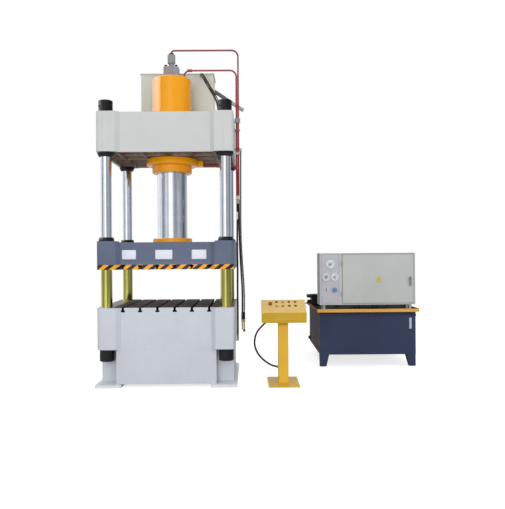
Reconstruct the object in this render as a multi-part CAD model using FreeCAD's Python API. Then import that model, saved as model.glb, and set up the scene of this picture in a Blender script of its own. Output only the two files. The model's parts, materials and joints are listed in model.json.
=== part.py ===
import FreeCAD, Part
import math
import os

# Four-column hydraulic press with its control pedestal and its power unit.
# Millimetres. The origin is on the floor below the middle of the press, +X to the
# right, +Y away from the operator, +Z up.

Vec = FreeCAD.Vector
UP = Vec(0, 0, 1)
RIGHT = Vec(1, 0, 0)
BACK = Vec(0, 1, 0)

# ---------------------------------------------------------------- clearances
RUNNING_FIT = 0.05           # radial, between parts that slide or turn on each other
SEAL_FIT = 0.10              # radial, between the ram and its packing
THREAD_GAP = 0.20            # radial, between a thread and its nut
SCREW_GAP = 0.50             # radial, round a bolt's shank

# ---------------------------------------------------------------- columns and beams
COLUMN_D = 130.0
COLUMN_SPIGOT_D = 110.0      # threaded end that passes through a beam
BEAM_WIDTH = 1590.0
BEAM_DEPTH = 1400.0
COLUMN_EDGE_X = 100.0        # column axis to the beams' side
COLUMN_EDGE_Y = 95.0         # column axis to the front of the corner blocks
BLOCK_WIDTH = 222.0          # front face of each corner block
PANEL_RECESS = 50.0          # the middle panel lies this far behind the corner blocks
CORNER_RADIUS = 50.0

BED_BOTTOM = 440.0
BED_TOP = 922.0
SLIDER_BOTTOM = 1364.0
SLIDER_HEIGHT = 317.0        # to the deck
GUIDE_PAD_HEIGHT = 15.0      # raised pads round the columns, above the deck
CROSSHEAD_BOTTOM = 2730.0
CROSSHEAD_HEIGHT = 467.0
CROSSHEAD_WALL = 30.0
CROSSHEAD_TOP_PLATE = 60.0
RIB_THICKNESS = 25.0
COLUMN_TUBE_D = 200.0        # tube round each column inside the crosshead

SLIDER_DECK = SLIDER_BOTTOM + SLIDER_HEIGHT
SLIDER_TOP = SLIDER_DECK + GUIDE_PAD_HEIGHT
CROSSHEAD_TOP = CROSSHEAD_BOTTOM + CROSSHEAD_HEIGHT
SIDE = BEAM_WIDTH / 2
COLUMN_X = SIDE - COLUMN_EDGE_X
COLUMN_Y = BEAM_DEPTH / 2 - COLUMN_EDGE_Y
COLUMNS = [(sx * COLUMN_X, sy * COLUMN_Y) for sx in (-1, 1) for sy in (-1, 1)]
PANEL_Y = BEAM_DEPTH / 2 - PANEL_RECESS

# ---------------------------------------------------------------- T-slotted plates
PLATE_THICKNESS = 90.0
PLATE_EDGE = 173.0           # plate's side to the beam's side
SLOT_PITCH = 200.0
SLOT_COUNT = 6
SLOT_NECK = 28.0
SLOT_NECK_DEPTH = 32.0
SLOT_HEAD = 48.0
SLOT_HEAD_DEPTH = 20.0
PLATE_WIDTH = BEAM_WIDTH - 2 * PLATE_EDGE

# ---------------------------------------------------------------- stand
FOOT_THICKNESS = 35.0
FOOT_WIDTH = 300.0
FOOT_PROUD = 24.0            # foot rails past the beam's side
SKIRT_PLATE = 25.0
NUT_POCKET_X = 215.0         # room for the bottom nuts, in from the beam's side
NUT_POCKET_Y = 207.0         # and in from its front
SIDE_WEB_INSET = 15.0
ANCHOR_EDGE_X = 49.0
ANCHOR_EDGE_Y = 50.0
ANCHOR_HOLE_D = 34.0
FOOT_OUTER_X = SIDE + FOOT_PROUD
SKIRT_HALF_WIDTH = SIDE - NUT_POCKET_X
POCKET_WEB_Y = BEAM_DEPTH / 2 - NUT_POCKET_Y
SIDE_WEB_X = SIDE - SIDE_WEB_INSET
ANCHOR_SPACING_X = 2 * (FOOT_OUTER_X - ANCHOR_EDGE_X)
ANCHOR_SPACING_Y = BEAM_DEPTH - 2 * ANCHOR_EDGE_Y

# ---------------------------------------------------------------- nuts
BOTTOM_NUT_D = 170.0
BOTTOM_NUT_HEIGHT = 138.0
TOP_NUT_D = 165.0
TOP_NUT_HEIGHT = 135.0
NUT_CHAMFER = 6.0
NUT_CAP = 12.0               # closed end of a nut, past the column
COLLAR_TOP_D = 198.0
COLLAR_BOTTOM_D = 160.0
COLLAR_HEIGHT = 52.0

# ---------------------------------------------------------------- column guides
BUSH_D = 145.0
BUSH_END_GAP = 16.0          # the bush stops this far above the slider's underside
WIPER_D = 178.0
WIPER_TOP_D = 160.0
WIPER_HEIGHT = 44.0
WIPER_GAP = 0.3              # radial, between the wiper ring's metal and the column

# ---------------------------------------------------------------- cylinder
CYLINDER_D = 490.0
CYLINDER_TOP = 3750.0
CYLINDER_BORE = 400.0
CYLINDER_SPIGOT_D = 470.0    # part that passes through the crosshead
CYLINDER_HEAD = 60.0
CYLINDER_CHAMFER = 16.0
LOCK_RING_D = 640.0
LOCK_RING_HEIGHT = 85.0
LOCK_RING_ROUND = 26.0
GLAND_D = 497.0
GLAND_HEIGHT = 90.0
GLAND_CHAMFER = 10.0
GLAND_SCREWS = 12
GLAND_SCREW_D = 16.0
GLAND_SCREW_HEAD_D = 26.0
GLAND_SCREW_HEAD = 16.0
GLAND_SCREW_LENGTH = 105.0   # below the seat of the head
SEAL_OUTER_D = 412.0
SEAL_HEIGHT = 44.0
RAM_D = 375.0
PISTON_HEIGHT = 120.0
PISTON_REST_GAP = 55.0       # piston above the gland with the slider at its lowest
RAM_FLANGE_D = 490.0
RAM_FLANGE_HEIGHT = 59.0
RAM_FLANGE_ROUND = 12.0
RAM_SCREWS = 8
RAM_SCREW_CIRCLE = 432.0
SCREW_D = 24.0
SCREW_HEAD_D = 36.0
SCREW_HEAD = 22.0
SCREW_LENGTH = 60.0          # below the seat of the head
PORT_BLOCK = (70.0, 90.0, 85.0)

GLAND_TOP = CROSSHEAD_BOTTOM - LOCK_RING_HEIGHT
GLAND_BOTTOM = GLAND_TOP - GLAND_HEIGHT
HEAD_UNDERSIDE = CYLINDER_TOP - CYLINDER_HEAD

# ---------------------------------------------------------------- prefill valve
VALVE_BLOCK_X = 190.0
VALVE_BLOCK_Y = 170.0
VALVE_BLOCK_HEIGHT = 190.0
VALVE_BLOCK_CHAMFER = 30.0
VALVE_NECK_D = 66.0
VALVE_NECK_HEIGHT = 26.0
VALVE_BODY_D = 98.0
VALVE_BODY_HEIGHT = 108.0
VALVE_CAP_D = 60.0
VALVE_CAP_HEIGHT = 10.0
VALVE_SCREW_SPACING_X = 150.0
VALVE_SCREW_SPACING_Y = 130.0
VALVE_SCREW_HEAD_D = 34.0
VALVE_SCREW_HEAD = 20.0
FILL_HOLE_D = 120.0
PRESS_BOSS_X = 160.0
PRESS_BOSS_D = 52.0
PRESS_BOSS_HEIGHT = 36.0
VALVE_TOP = (CYLINDER_TOP + VALVE_BLOCK_HEIGHT + VALVE_NECK_HEIGHT
             + VALVE_BODY_HEIGHT + VALVE_CAP_HEIGHT)

# ---------------------------------------------------------------- top tank
TOP_TANK_LEFT = -440.0
TOP_TANK_RIGHT = 510.0
TOP_TANK_FRONT = 300.0
TOP_TANK_DEPTH = 400.0
TOP_TANK_HEIGHT = 721.0
TOP_TANK_LID = 8.0
TOP_TANK_LID_EDGE = 12.0
OVERFLOW_D = 50.0
OVERFLOW_BORE = 42.0
OVERFLOW_Y = 450.0
OVERFLOW_DROP = 262.0
OVERFLOW_REACH = 392.0
OVERFLOW_START_BELOW_LID = 190.0

# ---------------------------------------------------------------- pipes and hoses
PIPE_D = 22.0
RETURN_PIPE_D = 28.0
PILOT_PIPE_OFF = 46.0        # pipe axes off the beams' side
PRESS_PIPE_OFF = 23.0
PILOT_PIPE_Z = 4120.0
PRESS_PIPE_Z = 3866.0
RETURN_PIPE_Z = 2668.0
RETURN_PIPE_Y = 44.0
PIPE_END_Z = 2275.0
PIPE_BEND = 80.0
FITTING_D = 32.0
HOSE_D = 22.0
CONDUIT_D = 24.0
LOOM_D = 46.0
CLAMP_LEVELS = (3105.0, 2810.0)
CLAMP_HEIGHT = 26.0
CLAMP_WRAP = 7.0
BED_PORT_HEIGHT = 62.0
BED_PORT_NECK = 20.0
CLAMP_NUT_WIDTH = 22.4
SLANT_STOCK = 8.0            # length a fitting keeps for the slanted cut at a line's end
UNION_START = 42.0
UNION_LENGTH = 58.0
UNION_WALL = 7.0
PILOT_PIPE_X = SIDE + PILOT_PIPE_OFF
PRESS_PIPE_X = SIDE + PRESS_PIPE_OFF

# Routes of the free lines, from where they leave the machine to their far ends.
# In the four that hang beside the press, X is counted from the beams' side.
PRESS_HOSE = [(23, 0, 2229), (26, 2, 1960), (20, 5, 1670), (25, 2, 1370),
              (21, 5, 1070), (25, 2, 770), (23, 0, 470)]
RETURN_HOSE = [(23, 44, 2229), (27, 46, 1950), (21, 43, 1660), (26, 47, 1360),
               (22, 43, 1060), (26, 46, 760), (23, 44, 470)]
PILOT_HOSE = [(46, 0, 2229), (47, -4, 1990), (51, -8, 1720), (62, -10, 1450),
              (78, -8, 1200), (85, -6, 990), (81, -8, 800)]
SIDE_CONDUIT = [(73, 60, 2850), (71, 56, 2560), (69, 50, 2240), (67, 42, 1920),
                (72, 34, 1660), (85, 26, 1420), (101, 20, 1190), (109, 18, 980),
                (105, 20, 800)]
HANGING = [PRESS_HOSE, RETURN_HOSE, PILOT_HOSE, SIDE_CONDUIT]
PRESS_HOSE, RETURN_HOSE, PILOT_HOSE, SIDE_CONDUIT = [
    [(SIDE + x, y, z) for x, y, z in route] for route in HANGING]
CABLE_LOOM = [(362, 262, 3884), (366, 166, 3872), (404, 84, 3800), (462, 26, 3690),
              (528, -36, 3570), (580, -112, 3450), (610, -180, 3340), (618, -204, 3237)]
PEDESTAL_CONDUIT = [(1150, -474, 713), (1098, -474, 664), (1052, -470, 606),
                    (1026, -466, 530), (1024, -466, 450), (1050, -468, 372),
                    (1102, -472, 300), (1170, -474, 244), (1238, -474, 206),
                    (1290, -474, 196)]

FERRULE_D = 27.0
FERRULE_HEIGHT = 90.0
HOSE_NUT_D = 30.0
HOSE_NUT_HEIGHT = 34.0
HOSE_STEM_D = 20.0
HOSE_STEM_HEIGHT = 96.0
HOSE_CAP_D = 32.0
HOSE_CAP_HEIGHT = 30.0

# ---------------------------------------------------------------- control pedestal
PEDESTAL_X = 1364.0
PEDESTAL_FOOT_WIDTH = 363.0
PEDESTAL_FOOT_FRONT = -733.0
PEDESTAL_FOOT_DEPTH = 573.0
PEDESTAL_FOOT = 12.0
POST_SIZE = 120.0
POST_FRONT = -534.0
POST_RADIUS = 10.0
CONSOLE_WIDTH = 522.0
CONSOLE_CENTRE_X = 1371.0
CONSOLE_FRONT = -655.0
CONSOLE_DEPTH = 280.0
CONSOLE_BOTTOM = 733.0
CONSOLE_FRONT_HEIGHT = 120.0
CONSOLE_BACK_HEIGHT = 252.0
CONSOLE_EDGE = 6.0
CONDUIT_GLAND_D = 34.0

BUTTON_PITCH = 74.0
BUTTON_ROWS = (0.50, 0.80)   # share of the sloping panel, from its front edge
BUTTON_D = 24.0
BUTTON_PROUD = 7.0           # cap above the panel
BUTTON_STEM = 22.0           # cap below the panel
BEZEL_D = 34.0
BEZEL_HEIGHT = 4.5
BEZEL_SLEEVE_WALL = 2.0
BEZEL_SLEEVE = 26.0
BUTTON_HOLE_DEPTH = 34.0
LAMP_DOME = 5.0
STOP_COLUMN = -2.0           # in button pitches, from the panel's middle
STOP_ROW = 0.62
STOP_HEAD_D = 46.0
STOP_HEAD_HEIGHT = 13.0
STOP_PROUD = 26.0

# ---------------------------------------------------------------- power unit
UNIT_FRONT = 546.0
UNIT_LEFT = 1924.0
UNIT_WIDTH = 1300.0
UNIT_DEPTH = 1400.0
TANK_BOTTOM = 160.0
TANK_TOP = 739.0
LEG_TOP = 122.0
LEG_FOOT = 84.0
REAR_LEG_INSET = 160.0       # rear legs stand this far in from the tank's sides
RIM_HEIGHT = 44.0
RIM_OVERHANG = 42.0
RIM_WALL = 5.0
LID_THICKNESS = 10.0
LEVEL_GAUGE = (34.0, 14.0, 150.0)
LEVEL_GAUGE_EDGE = 71.0      # its middle to the tank's right side
LEVEL_GAUGE_Z = 582.0

CABINET_DEPTH = 300.0
CABINET_BOTTOM = 837.0
CABINET_HEIGHT = 704.0
CABINET_WALL = 3.0
CABINET_FOOT_D = 46.0
PANEL_STRIP = 280.0          # gauge strip on the left
DOOR_FRAME_LEFT = 307.0      # doorway to the cabinet's left side
DOOR_FRAME_RIGHT = 18.0
DOOR_BOTTOM = 856.0
DOOR_TOP = 1526.0
DOOR_GAP = 2.0
DOOR_THICKNESS = 20.0
DOOR_SHEET = 2.5
DOOR_PROUD = 3.0
HINGE_D = 14.0
HINGE_PIN_D = 8.0
HINGE_KNUCKLE = 40.0
HINGE_LEVELS = (985.0, 1397.0)
HINGE_OFF_X = 5.0            # hinge axis left of the doorway
HINGE_OFF_Y = 10.0           # and in front of the cabinet
HANDLE_EDGE = 53.0
HANDLE_PIVOT_Z = 1206.0
HANDLE_LENGTH = 125.0
HANDLE_WIDTH = 24.0
HANDLE_THICKNESS = 12.0
HANDLE_STANDOFF = 14.0
HANDLE_SHAFT_D = 12.0
LATCH_CAM = (34.0, 4.0, 20.0)
BACKPLATE_GAP = 24.0
BACKPLATE_EDGE = 20.0
STANDOFF_EDGE = 60.0
STANDOFF_D = 16.0
FEET_INSET = 60.0
UNIT_RIGHT = UNIT_LEFT + UNIT_WIDTH
DOOR_LEFT = UNIT_LEFT + DOOR_FRAME_LEFT
DOOR_RIGHT = UNIT_RIGHT - DOOR_FRAME_RIGHT
HINGE_X = DOOR_LEFT - HINGE_OFF_X
HINGE_Y = UNIT_FRONT - HINGE_OFF_Y
HANDLE_X = DOOR_RIGHT - HANDLE_EDGE
LEVEL_GAUGE_X = UNIT_RIGHT - LEVEL_GAUGE_EDGE

# Name, distance from the cabinet's left side, level and diameter.
GAUGE_PLACES = [("upper", 143.0, 1393.0, 117.0), ("left", 87.0, 1217.0, 105.0),
                ("right", 203.0, 1217.0, 105.0)]
GAUGES = [(name, UNIT_LEFT + off, level, size) for name, off, level, size in GAUGE_PLACES]
GAUGE_PROUD = 24.0
GAUGE_RIM = 9.0
GAUGE_DIAL_DEPTH = 10.0
GAUGE_STEM_D = 24.0
NEEDLE_WIDTH = 5.0
NEEDLE_THICKNESS = 2.0
NEEDLE_HUB_D = 14.0
NEEDLE_PIN_D = 4.0
NEEDLE_REST_ANGLE = 225.0    # clockwise from straight up
KNOB_OFF = 199.0
KNOB_Z = 1042.0
KNOB_D = 65.0
KNOB_LOBES = 6
KNOB_HEIGHT = 30.0
KNOB_STANDOFF = 16.0
KNOB_SHAFT_D = 14.0
SELECTOR_OFF = 101.0
SELECTOR_Z = 1049.0
SELECTOR_D = 34.0
SELECTOR_BASE = 8.0
SELECTOR_GRIP = (10.0, 18.0, 32.0)
PANEL_HOLE_DEPTH = 30.0
KNOB_X = UNIT_LEFT + KNOB_OFF
SELECTOR_X = UNIT_LEFT + SELECTOR_OFF

MOTOR_OFF_Y = 704.0          # motor axis behind the tank's front
MOTOR_OFF_X = 546.0          # motor's flange from the tank's left side
MOTOR_AXIS_ABOVE_LID = 180.0
MOTOR_D = 280.0
MOTOR_FIN = 14.0
MOTOR_FINS = 28
MOTOR_LENGTH = 430.0
MOTOR_FOOT_EDGE = 60.0
MOTOR_FOOT_WIDTH = 50.0
MOTOR_FOOT_SPREAD = 130.0
MOTOR_FOOT_TOP = 100.0       # below the motor axis
TERMINAL_START = 150.0
TERMINAL_LENGTH = 130.0
TERMINAL_WIDTH = 120.0
TERMINAL_HEIGHT = 66.0
FAN_GAP = 24.0
FAN_DEPTH = 36.0
FAN_DISC = 5.0
FAN_SLOTS = 5
FAN_SLOT_PITCH = 36.0
FAN_SLOT_WIDTH = 16.0
FAN_SLOT_LENGTH = 160.0
MOTOR_BORE = 200.0
MOTOR_SHIELD = 30.0
COWL_LENGTH = 90.0
COWL_WALL = 3.0
ROTOR_D = 196.0
SHAFT_D = 42.0
FAN_D = 220.0
FAN_BLADES = 8
BELL_LENGTH = 120.0
BELL_D = 250.0
BELL_WALL = 14.0
BELL_WINDOW = 50.0           # half width
BELL_WINDOW_EDGE = 35.0
COUPLING_D = 110.0
COUPLING_LENGTH = 54.0
SHAFT_REACH = 70.0
PUMP_D = 150.0
PUMP_LENGTH = 190.0
PUMP_FLANGE_D = 200.0
PUMP_FLANGE = 24.0
PUMP_END_D = 120.0
SUCTION_D = 60.0
PUMP_PORT_D = 56.0
PUMP_PORT = 24.0
MANIFOLD = (118.0, 220.0, 121.0)
MANIFOLD_OFF_X = -24.0       # from the tank's left side
MANIFOLD_OFF_Y = 864.0       # behind the tank's front
MANIFOLD_INLET = 60.0        # above the lid
SOLENOID_D = 46.0
SOLENOID_LENGTH = 62.0
VALVE_SIZE = (110.0, 48.0, 52.0)
VALVE_COUNT = 3
RELIEF_D = 52.0
RELIEF_LENGTH = 58.0
RELIEF_Z = 68.0
LEVER_D = 14.0
LEVER_RUN = (-62.0, 0.0, -34.0)
BREATHER_D = 84.0
BREATHER_EDGE_X = 144.0
BREATHER_EDGE_Y = 266.0
FILLER_CAP_D = 36.0
FILLER_CAP = 16.0
FILLER_CAP_Z = 690.0

LID_TOP = TANK_TOP + RIM_HEIGHT
LID_FLOOR = TANK_TOP + LID_THICKNESS
CABINET_TOP = CABINET_BOTTOM + CABINET_HEIGHT
MOTOR_Z = LID_TOP + MOTOR_AXIS_ABOVE_LID
MOTOR_AXIS_Y = UNIT_FRONT + MOTOR_OFF_Y
MOTOR_LEFT = UNIT_LEFT + MOTOR_OFF_X
MANIFOLD_X = UNIT_LEFT + MANIFOLD_OFF_X
MANIFOLD_Y = UNIT_FRONT + MANIFOLD_OFF_Y
BREATHER_X = UNIT_RIGHT - BREATHER_EDGE_X
BREATHER_Y = UNIT_FRONT + UNIT_DEPTH - BREATHER_EDGE_Y


# ---------------------------------------------------------------- small helpers
def box(x0, x1, y0, y1, z0, z1):
    return Part.makeBox(x1 - x0, y1 - y0, z1 - z0, Vec(x0, y0, z0))


def rod(x, y, z0, z1, diameter):
    """Upright cylinder."""
    return Part.makeCylinder(diameter / 2, z1 - z0, Vec(x, y, z0), UP)


def bar(start, direction, length, diameter):
    """Cylinder from a point along any direction."""
    return Part.makeCylinder(diameter / 2, length, Vec(*start), direction)


def ring(x, y, z0, z1, outer, inner):
    return rod(x, y, z0, z1, outer).cut(rod(x, y, z0 - 1, z1 + 1, inner))


def turned(profile, x=0.0, y=0.0):
    """Solid of revolution about an upright axis, from (radius, z) points."""
    points = [Vec(radius, 0, z) for radius, z in profile]
    face = Part.Face(Part.makePolygon(points + points[:1]))
    solid = face.revolve(Vec(0, 0, 0), UP, 360)
    solid.translate(Vec(x, y, 0))
    return solid


def extruded(points, direction):
    """Prism from a closed outline of 3-D points."""
    corners = [Vec(*point) for point in points]
    return Part.Face(Part.makePolygon(corners + corners[:1])).extrude(direction)


def united(solids):
    return solids[0].multiFuse(solids[1:]) if len(solids) > 1 else solids[0]


def without(solid, tools):
    return solid.cut(Part.makeCompound(tools))


def export(name, shape):
    shape.exportStep("parts/%s.step" % name)


def export_group(name, solids):
    export(name, Part.makeCompound(solids))


# ---------------------------------------------------------------- bent lines
def rounded_path(points, bend=None):
    """Straight runs joined by tangent arcs; each arc is as large as its runs allow,
    or has the given bend radius."""
    corners = [Vec(*point) for point in points]
    edges = []
    radii = []
    begin = corners[0]
    for before, corner, after in zip(corners, corners[1:], corners[2:]):
        incoming = corner.sub(before).normalize()
        outgoing = after.sub(corner).normalize()
        half_turn = incoming.getAngle(outgoing) / 2
        shorter = min(corner.distanceToPoint(before), corner.distanceToPoint(after))
        radius = bend or 0.45 * shorter / math.tan(half_turn)
        setback = radius * math.tan(half_turn)
        arc_in = corner.sub(Vec(incoming).multiply(setback))
        arc_out = corner.add(Vec(outgoing).multiply(setback))
        to_centre = Vec(outgoing).sub(incoming).normalize()
        middle = corner.add(to_centre.multiply(radius / math.cos(half_turn) - radius))
        edges.append(Part.LineSegment(begin, arc_in).toShape())
        edges.append(Part.Arc(arc_in, middle, arc_out).toShape())
        radii.append(radius)
        begin = arc_out
    edges.append(Part.LineSegment(begin, corners[-1]).toShape())
    return Part.Wire(edges), radii


def tube(points, diameter, bend=None):
    path, radii = rounded_path(points, bend)
    start = Vec(*points[0])
    direction = Vec(*points[1]).sub(start)
    section = Part.Wire([Part.Circle(start, direction, diameter / 2).toShape()])
    return path.makePipeShell([section], True, False), path.Length, radii


def cord(name, points, diameter):
    solid, length, radii = tube(points, diameter)
    section = math.pi * diameter ** 2 / 4
    print("%s length %.0f volume ratio %.4f radii %s" % (
        name, length, solid.Volume / (section * length), [round(r) for r in radii]))
    export(name, solid)


def trimmed(fitting, route):
    """Cut a fitting back to the face of the line that starts there."""
    start = Vec(*route[0])
    size = 4 * LOOM_D
    beyond = Part.makeBox(size, size, size, Vec(-size / 2, -size / 2, 0))
    beyond.Placement = FreeCAD.Placement(
        start, FreeCAD.Rotation(UP, Vec(*route[1]).sub(start)))
    return fitting.cut(beyond)


# ---------------------------------------------------------------- beams
def beam_outline(inset=0.0):
    """Plan of a beam: corner blocks with rounded outer corners, joined to recessed
    middle panels by 45 degree slopes at the front and the back."""
    x = BEAM_WIDTH / 2 - inset
    y = BEAM_DEPTH / 2 - inset
    slope_shift = inset * math.tan(math.radians(22.5))
    block = BEAM_WIDTH / 2 - BLOCK_WIDTH + slope_shift
    panel = block - PANEL_RECESS
    radius = CORNER_RADIUS - inset
    cut = radius * math.sin(math.radians(45))
    edges = []

    def line(x0, y0, x1, y1):
        edges.append(Part.LineSegment(Vec(x0, y0, 0), Vec(x1, y1, 0)).toShape())

    def corner(sx, sy, first, last):
        middle = Vec(sx * (x - radius + cut), sy * (y - radius + cut), 0)
        edges.append(Part.Arc(Vec(*first, 0), middle, Vec(*last, 0)).toShape())

    line(-x + radius, -y, -block, -y)
    line(-block, -y, -panel, -y + PANEL_RECESS)
    line(-panel, -y + PANEL_RECESS, panel, -y + PANEL_RECESS)
    line(panel, -y + PANEL_RECESS, block, -y)
    line(block, -y, x - radius, -y)
    corner(1, -1, (x - radius, -y), (x, -y + radius))
    line(x, -y + radius, x, y - radius)
    corner(1, 1, (x, y - radius), (x - radius, y))
    line(x - radius, y, block, y)
    line(block, y, panel, y - PANEL_RECESS)
    line(panel, y - PANEL_RECESS, -panel, y - PANEL_RECESS)
    line(-panel, y - PANEL_RECESS, -block, y)
    line(-block, y, -x + radius, y)
    corner(-1, 1, (-x + radius, y), (-x, y - radius))
    line(-x, y - radius, -x, -y + radius)
    corner(-1, -1, (-x, -y + radius), (-x + radius, -y))
    return Part.Face(Part.Wire(edges))


def beam_block(z0, z1, inset=0.0):
    face = beam_outline(inset)
    face.translate(Vec(0, 0, z0))
    return face.extrude(Vec(0, 0, z1 - z0))


def column_holes(z0, z1, diameter):
    return [rod(x, y, z0 - 1, z1 + 1, diameter) for x, y in COLUMNS]


def slotted_plate(z0, face_up):
    """Thick plate with T-slots from front to back, in its upper or its lower face."""
    z1 = z0 + PLATE_THICKNESS
    plate = box(-PLATE_WIDTH / 2, PLATE_WIDTH / 2, -PANEL_Y, PANEL_Y, z0, z1)
    slots = []
    for index in range(SLOT_COUNT):
        x = (index - (SLOT_COUNT - 1) / 2) * SLOT_PITCH
        if face_up:
            mouth, neck, root = z1 + 1, z1 - SLOT_NECK_DEPTH, z1 - SLOT_NECK_DEPTH - SLOT_HEAD_DEPTH
        else:
            mouth, neck, root = z0 - 1, z0 + SLOT_NECK_DEPTH, z0 + SLOT_NECK_DEPTH + SLOT_HEAD_DEPTH
        n = SLOT_NECK / 2
        h = SLOT_HEAD / 2
        y = -PANEL_Y - 1
        outline = [(x - n, y, mouth), (x - n, y, neck), (x - h, y, neck), (x - h, y, root),
                   (x + h, y, root), (x + h, y, neck), (x + n, y, neck), (x + n, y, mouth)]
        slots.append(extruded(outline, Vec(0, 2 * PANEL_Y + 2, 0)))
    return without(plate, slots)


def plate_pocket(z0):
    half = PLATE_WIDTH / 2
    return box(-half, half, -PANEL_Y, PANEL_Y, z0, z0 + PLATE_THICKNESS)


# ---------------------------------------------------------------- bed and stand
def make_bed():
    hole = COLUMN_SPIGOT_D + 2 * SCREW_GAP
    frame = beam_block(BED_BOTTOM, BED_TOP)
    tools = column_holes(BED_BOTTOM, BED_TOP, hole)
    tools.append(plate_pocket(BED_TOP - PLATE_THICKNESS))
    frame = without(frame, tools)
    ports = [bed_port(PRESS_HOSE), bed_port(RETURN_HOSE)]
    export("bed_frame", united([frame] + ports))
    export("bed_table", slotted_plate(BED_TOP - PLATE_THICKNESS, True))


def bed_port(route):
    """Elbow port on the bed's side whose mouth points up to take a hose."""
    x, y, top = route[-1]
    base = top - BED_PORT_HEIGHT
    wall = BEAM_WIDTH / 2
    reach = x - wall + FITTING_D / 2
    block_top = top - BED_PORT_NECK
    block = box(wall - 1, wall + reach, y - FITTING_D / 2, y + FITTING_D / 2,
                max(base, BED_BOTTOM + 1), block_top)
    neck = rod(x, y, block_top, top + SLANT_STOCK, FITTING_D - 6)
    return united([block, trimmed(neck, route[::-1])])


def skirt_outline(inset):
    w = SKIRT_HALF_WIDTH - inset
    y = PANEL_Y - inset
    web = POCKET_WEB_Y - inset
    side = SIDE_WEB_X - inset
    quarter = [(w, -y), (w, -web), (side, -web)]
    right = quarter + [(px, -py) for px, py in reversed(quarter)]
    left = [(-px, -py) for px, py in right]
    return right + left


def make_stand():
    z0 = FOOT_THICKNESS
    height = Vec(0, 0, BED_BOTTOM - z0)
    outer = extruded([(x, y, z0) for x, y in skirt_outline(0)], height)
    inner = extruded([(x, y, z0) for x, y in skirt_outline(SKIRT_PLATE)], height)
    skirt = outer.cut(inner)
    feet = []
    for side in (-1, 1):
        x0, x1 = sorted((side * FOOT_OUTER_X, side * (FOOT_OUTER_X - FOOT_WIDTH)))
        feet.append(box(x0, x1, -BEAM_DEPTH / 2, BEAM_DEPTH / 2, 0, FOOT_THICKNESS))
    stand = united([skirt] + feet)
    holes = []
    for sx in (-1, 1):
        for sy in (-1, 1):
            holes.append(rod(sx * ANCHOR_SPACING_X / 2, sy * ANCHOR_SPACING_Y / 2,
                             -1, FOOT_THICKNESS + 1, ANCHOR_HOLE_D))
    export("bed_stand", without(stand, holes))


# ---------------------------------------------------------------- columns and nuts
def make_columns():
    low = BED_BOTTOM - BOTTOM_NUT_HEIGHT + NUT_CAP
    high = CROSSHEAD_TOP + TOP_NUT_HEIGHT - NUT_CAP
    shaft = COLUMN_D / 2
    spigot = COLUMN_SPIGOT_D / 2
    profile = [(0, low), (spigot, low), (spigot, BED_TOP), (shaft, BED_TOP),
               (shaft, CROSSHEAD_BOTTOM), (spigot, CROSSHEAD_BOTTOM), (spigot, high), (0, high)]
    export_group("columns", [turned(profile, x, y) for x, y in COLUMNS])


def cap_nut(x, y, seat, height, diameter, direction):
    """Round nut closed at its outer end; direction is +1 above its seat, -1 below."""
    outer = diameter / 2
    hole = COLUMN_SPIGOT_D / 2 + THREAD_GAP
    far = seat + direction * height
    floor = far - direction * NUT_CAP
    profile = [(hole, seat), (outer, seat), (outer, far - direction * NUT_CHAMFER),
               (outer - NUT_CHAMFER, far), (0, far), (0, floor), (hole, floor)]
    return turned(profile, x, y)


def make_nuts():
    nuts = []
    for x, y in COLUMNS:
        nuts.append(cap_nut(x, y, BED_BOTTOM, BOTTOM_NUT_HEIGHT, BOTTOM_NUT_D, -1))
        nuts.append(cap_nut(x, y, CROSSHEAD_TOP, TOP_NUT_HEIGHT, TOP_NUT_D, 1))
    export_group("column_nuts", nuts)
    hole = COLUMN_D / 2 + THREAD_GAP
    bottom = CROSSHEAD_BOTTOM - COLLAR_HEIGHT
    straight = COLLAR_HEIGHT / 3
    profile = [(hole, bottom), (COLLAR_BOTTOM_D / 2, bottom),
               (COLLAR_TOP_D / 2, CROSSHEAD_BOTTOM - straight),
               (COLLAR_TOP_D / 2, CROSSHEAD_BOTTOM), (hole, CROSSHEAD_BOTTOM)]
    export_group("column_collars", [turned(profile, x, y) for x, y in COLUMNS])


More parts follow.
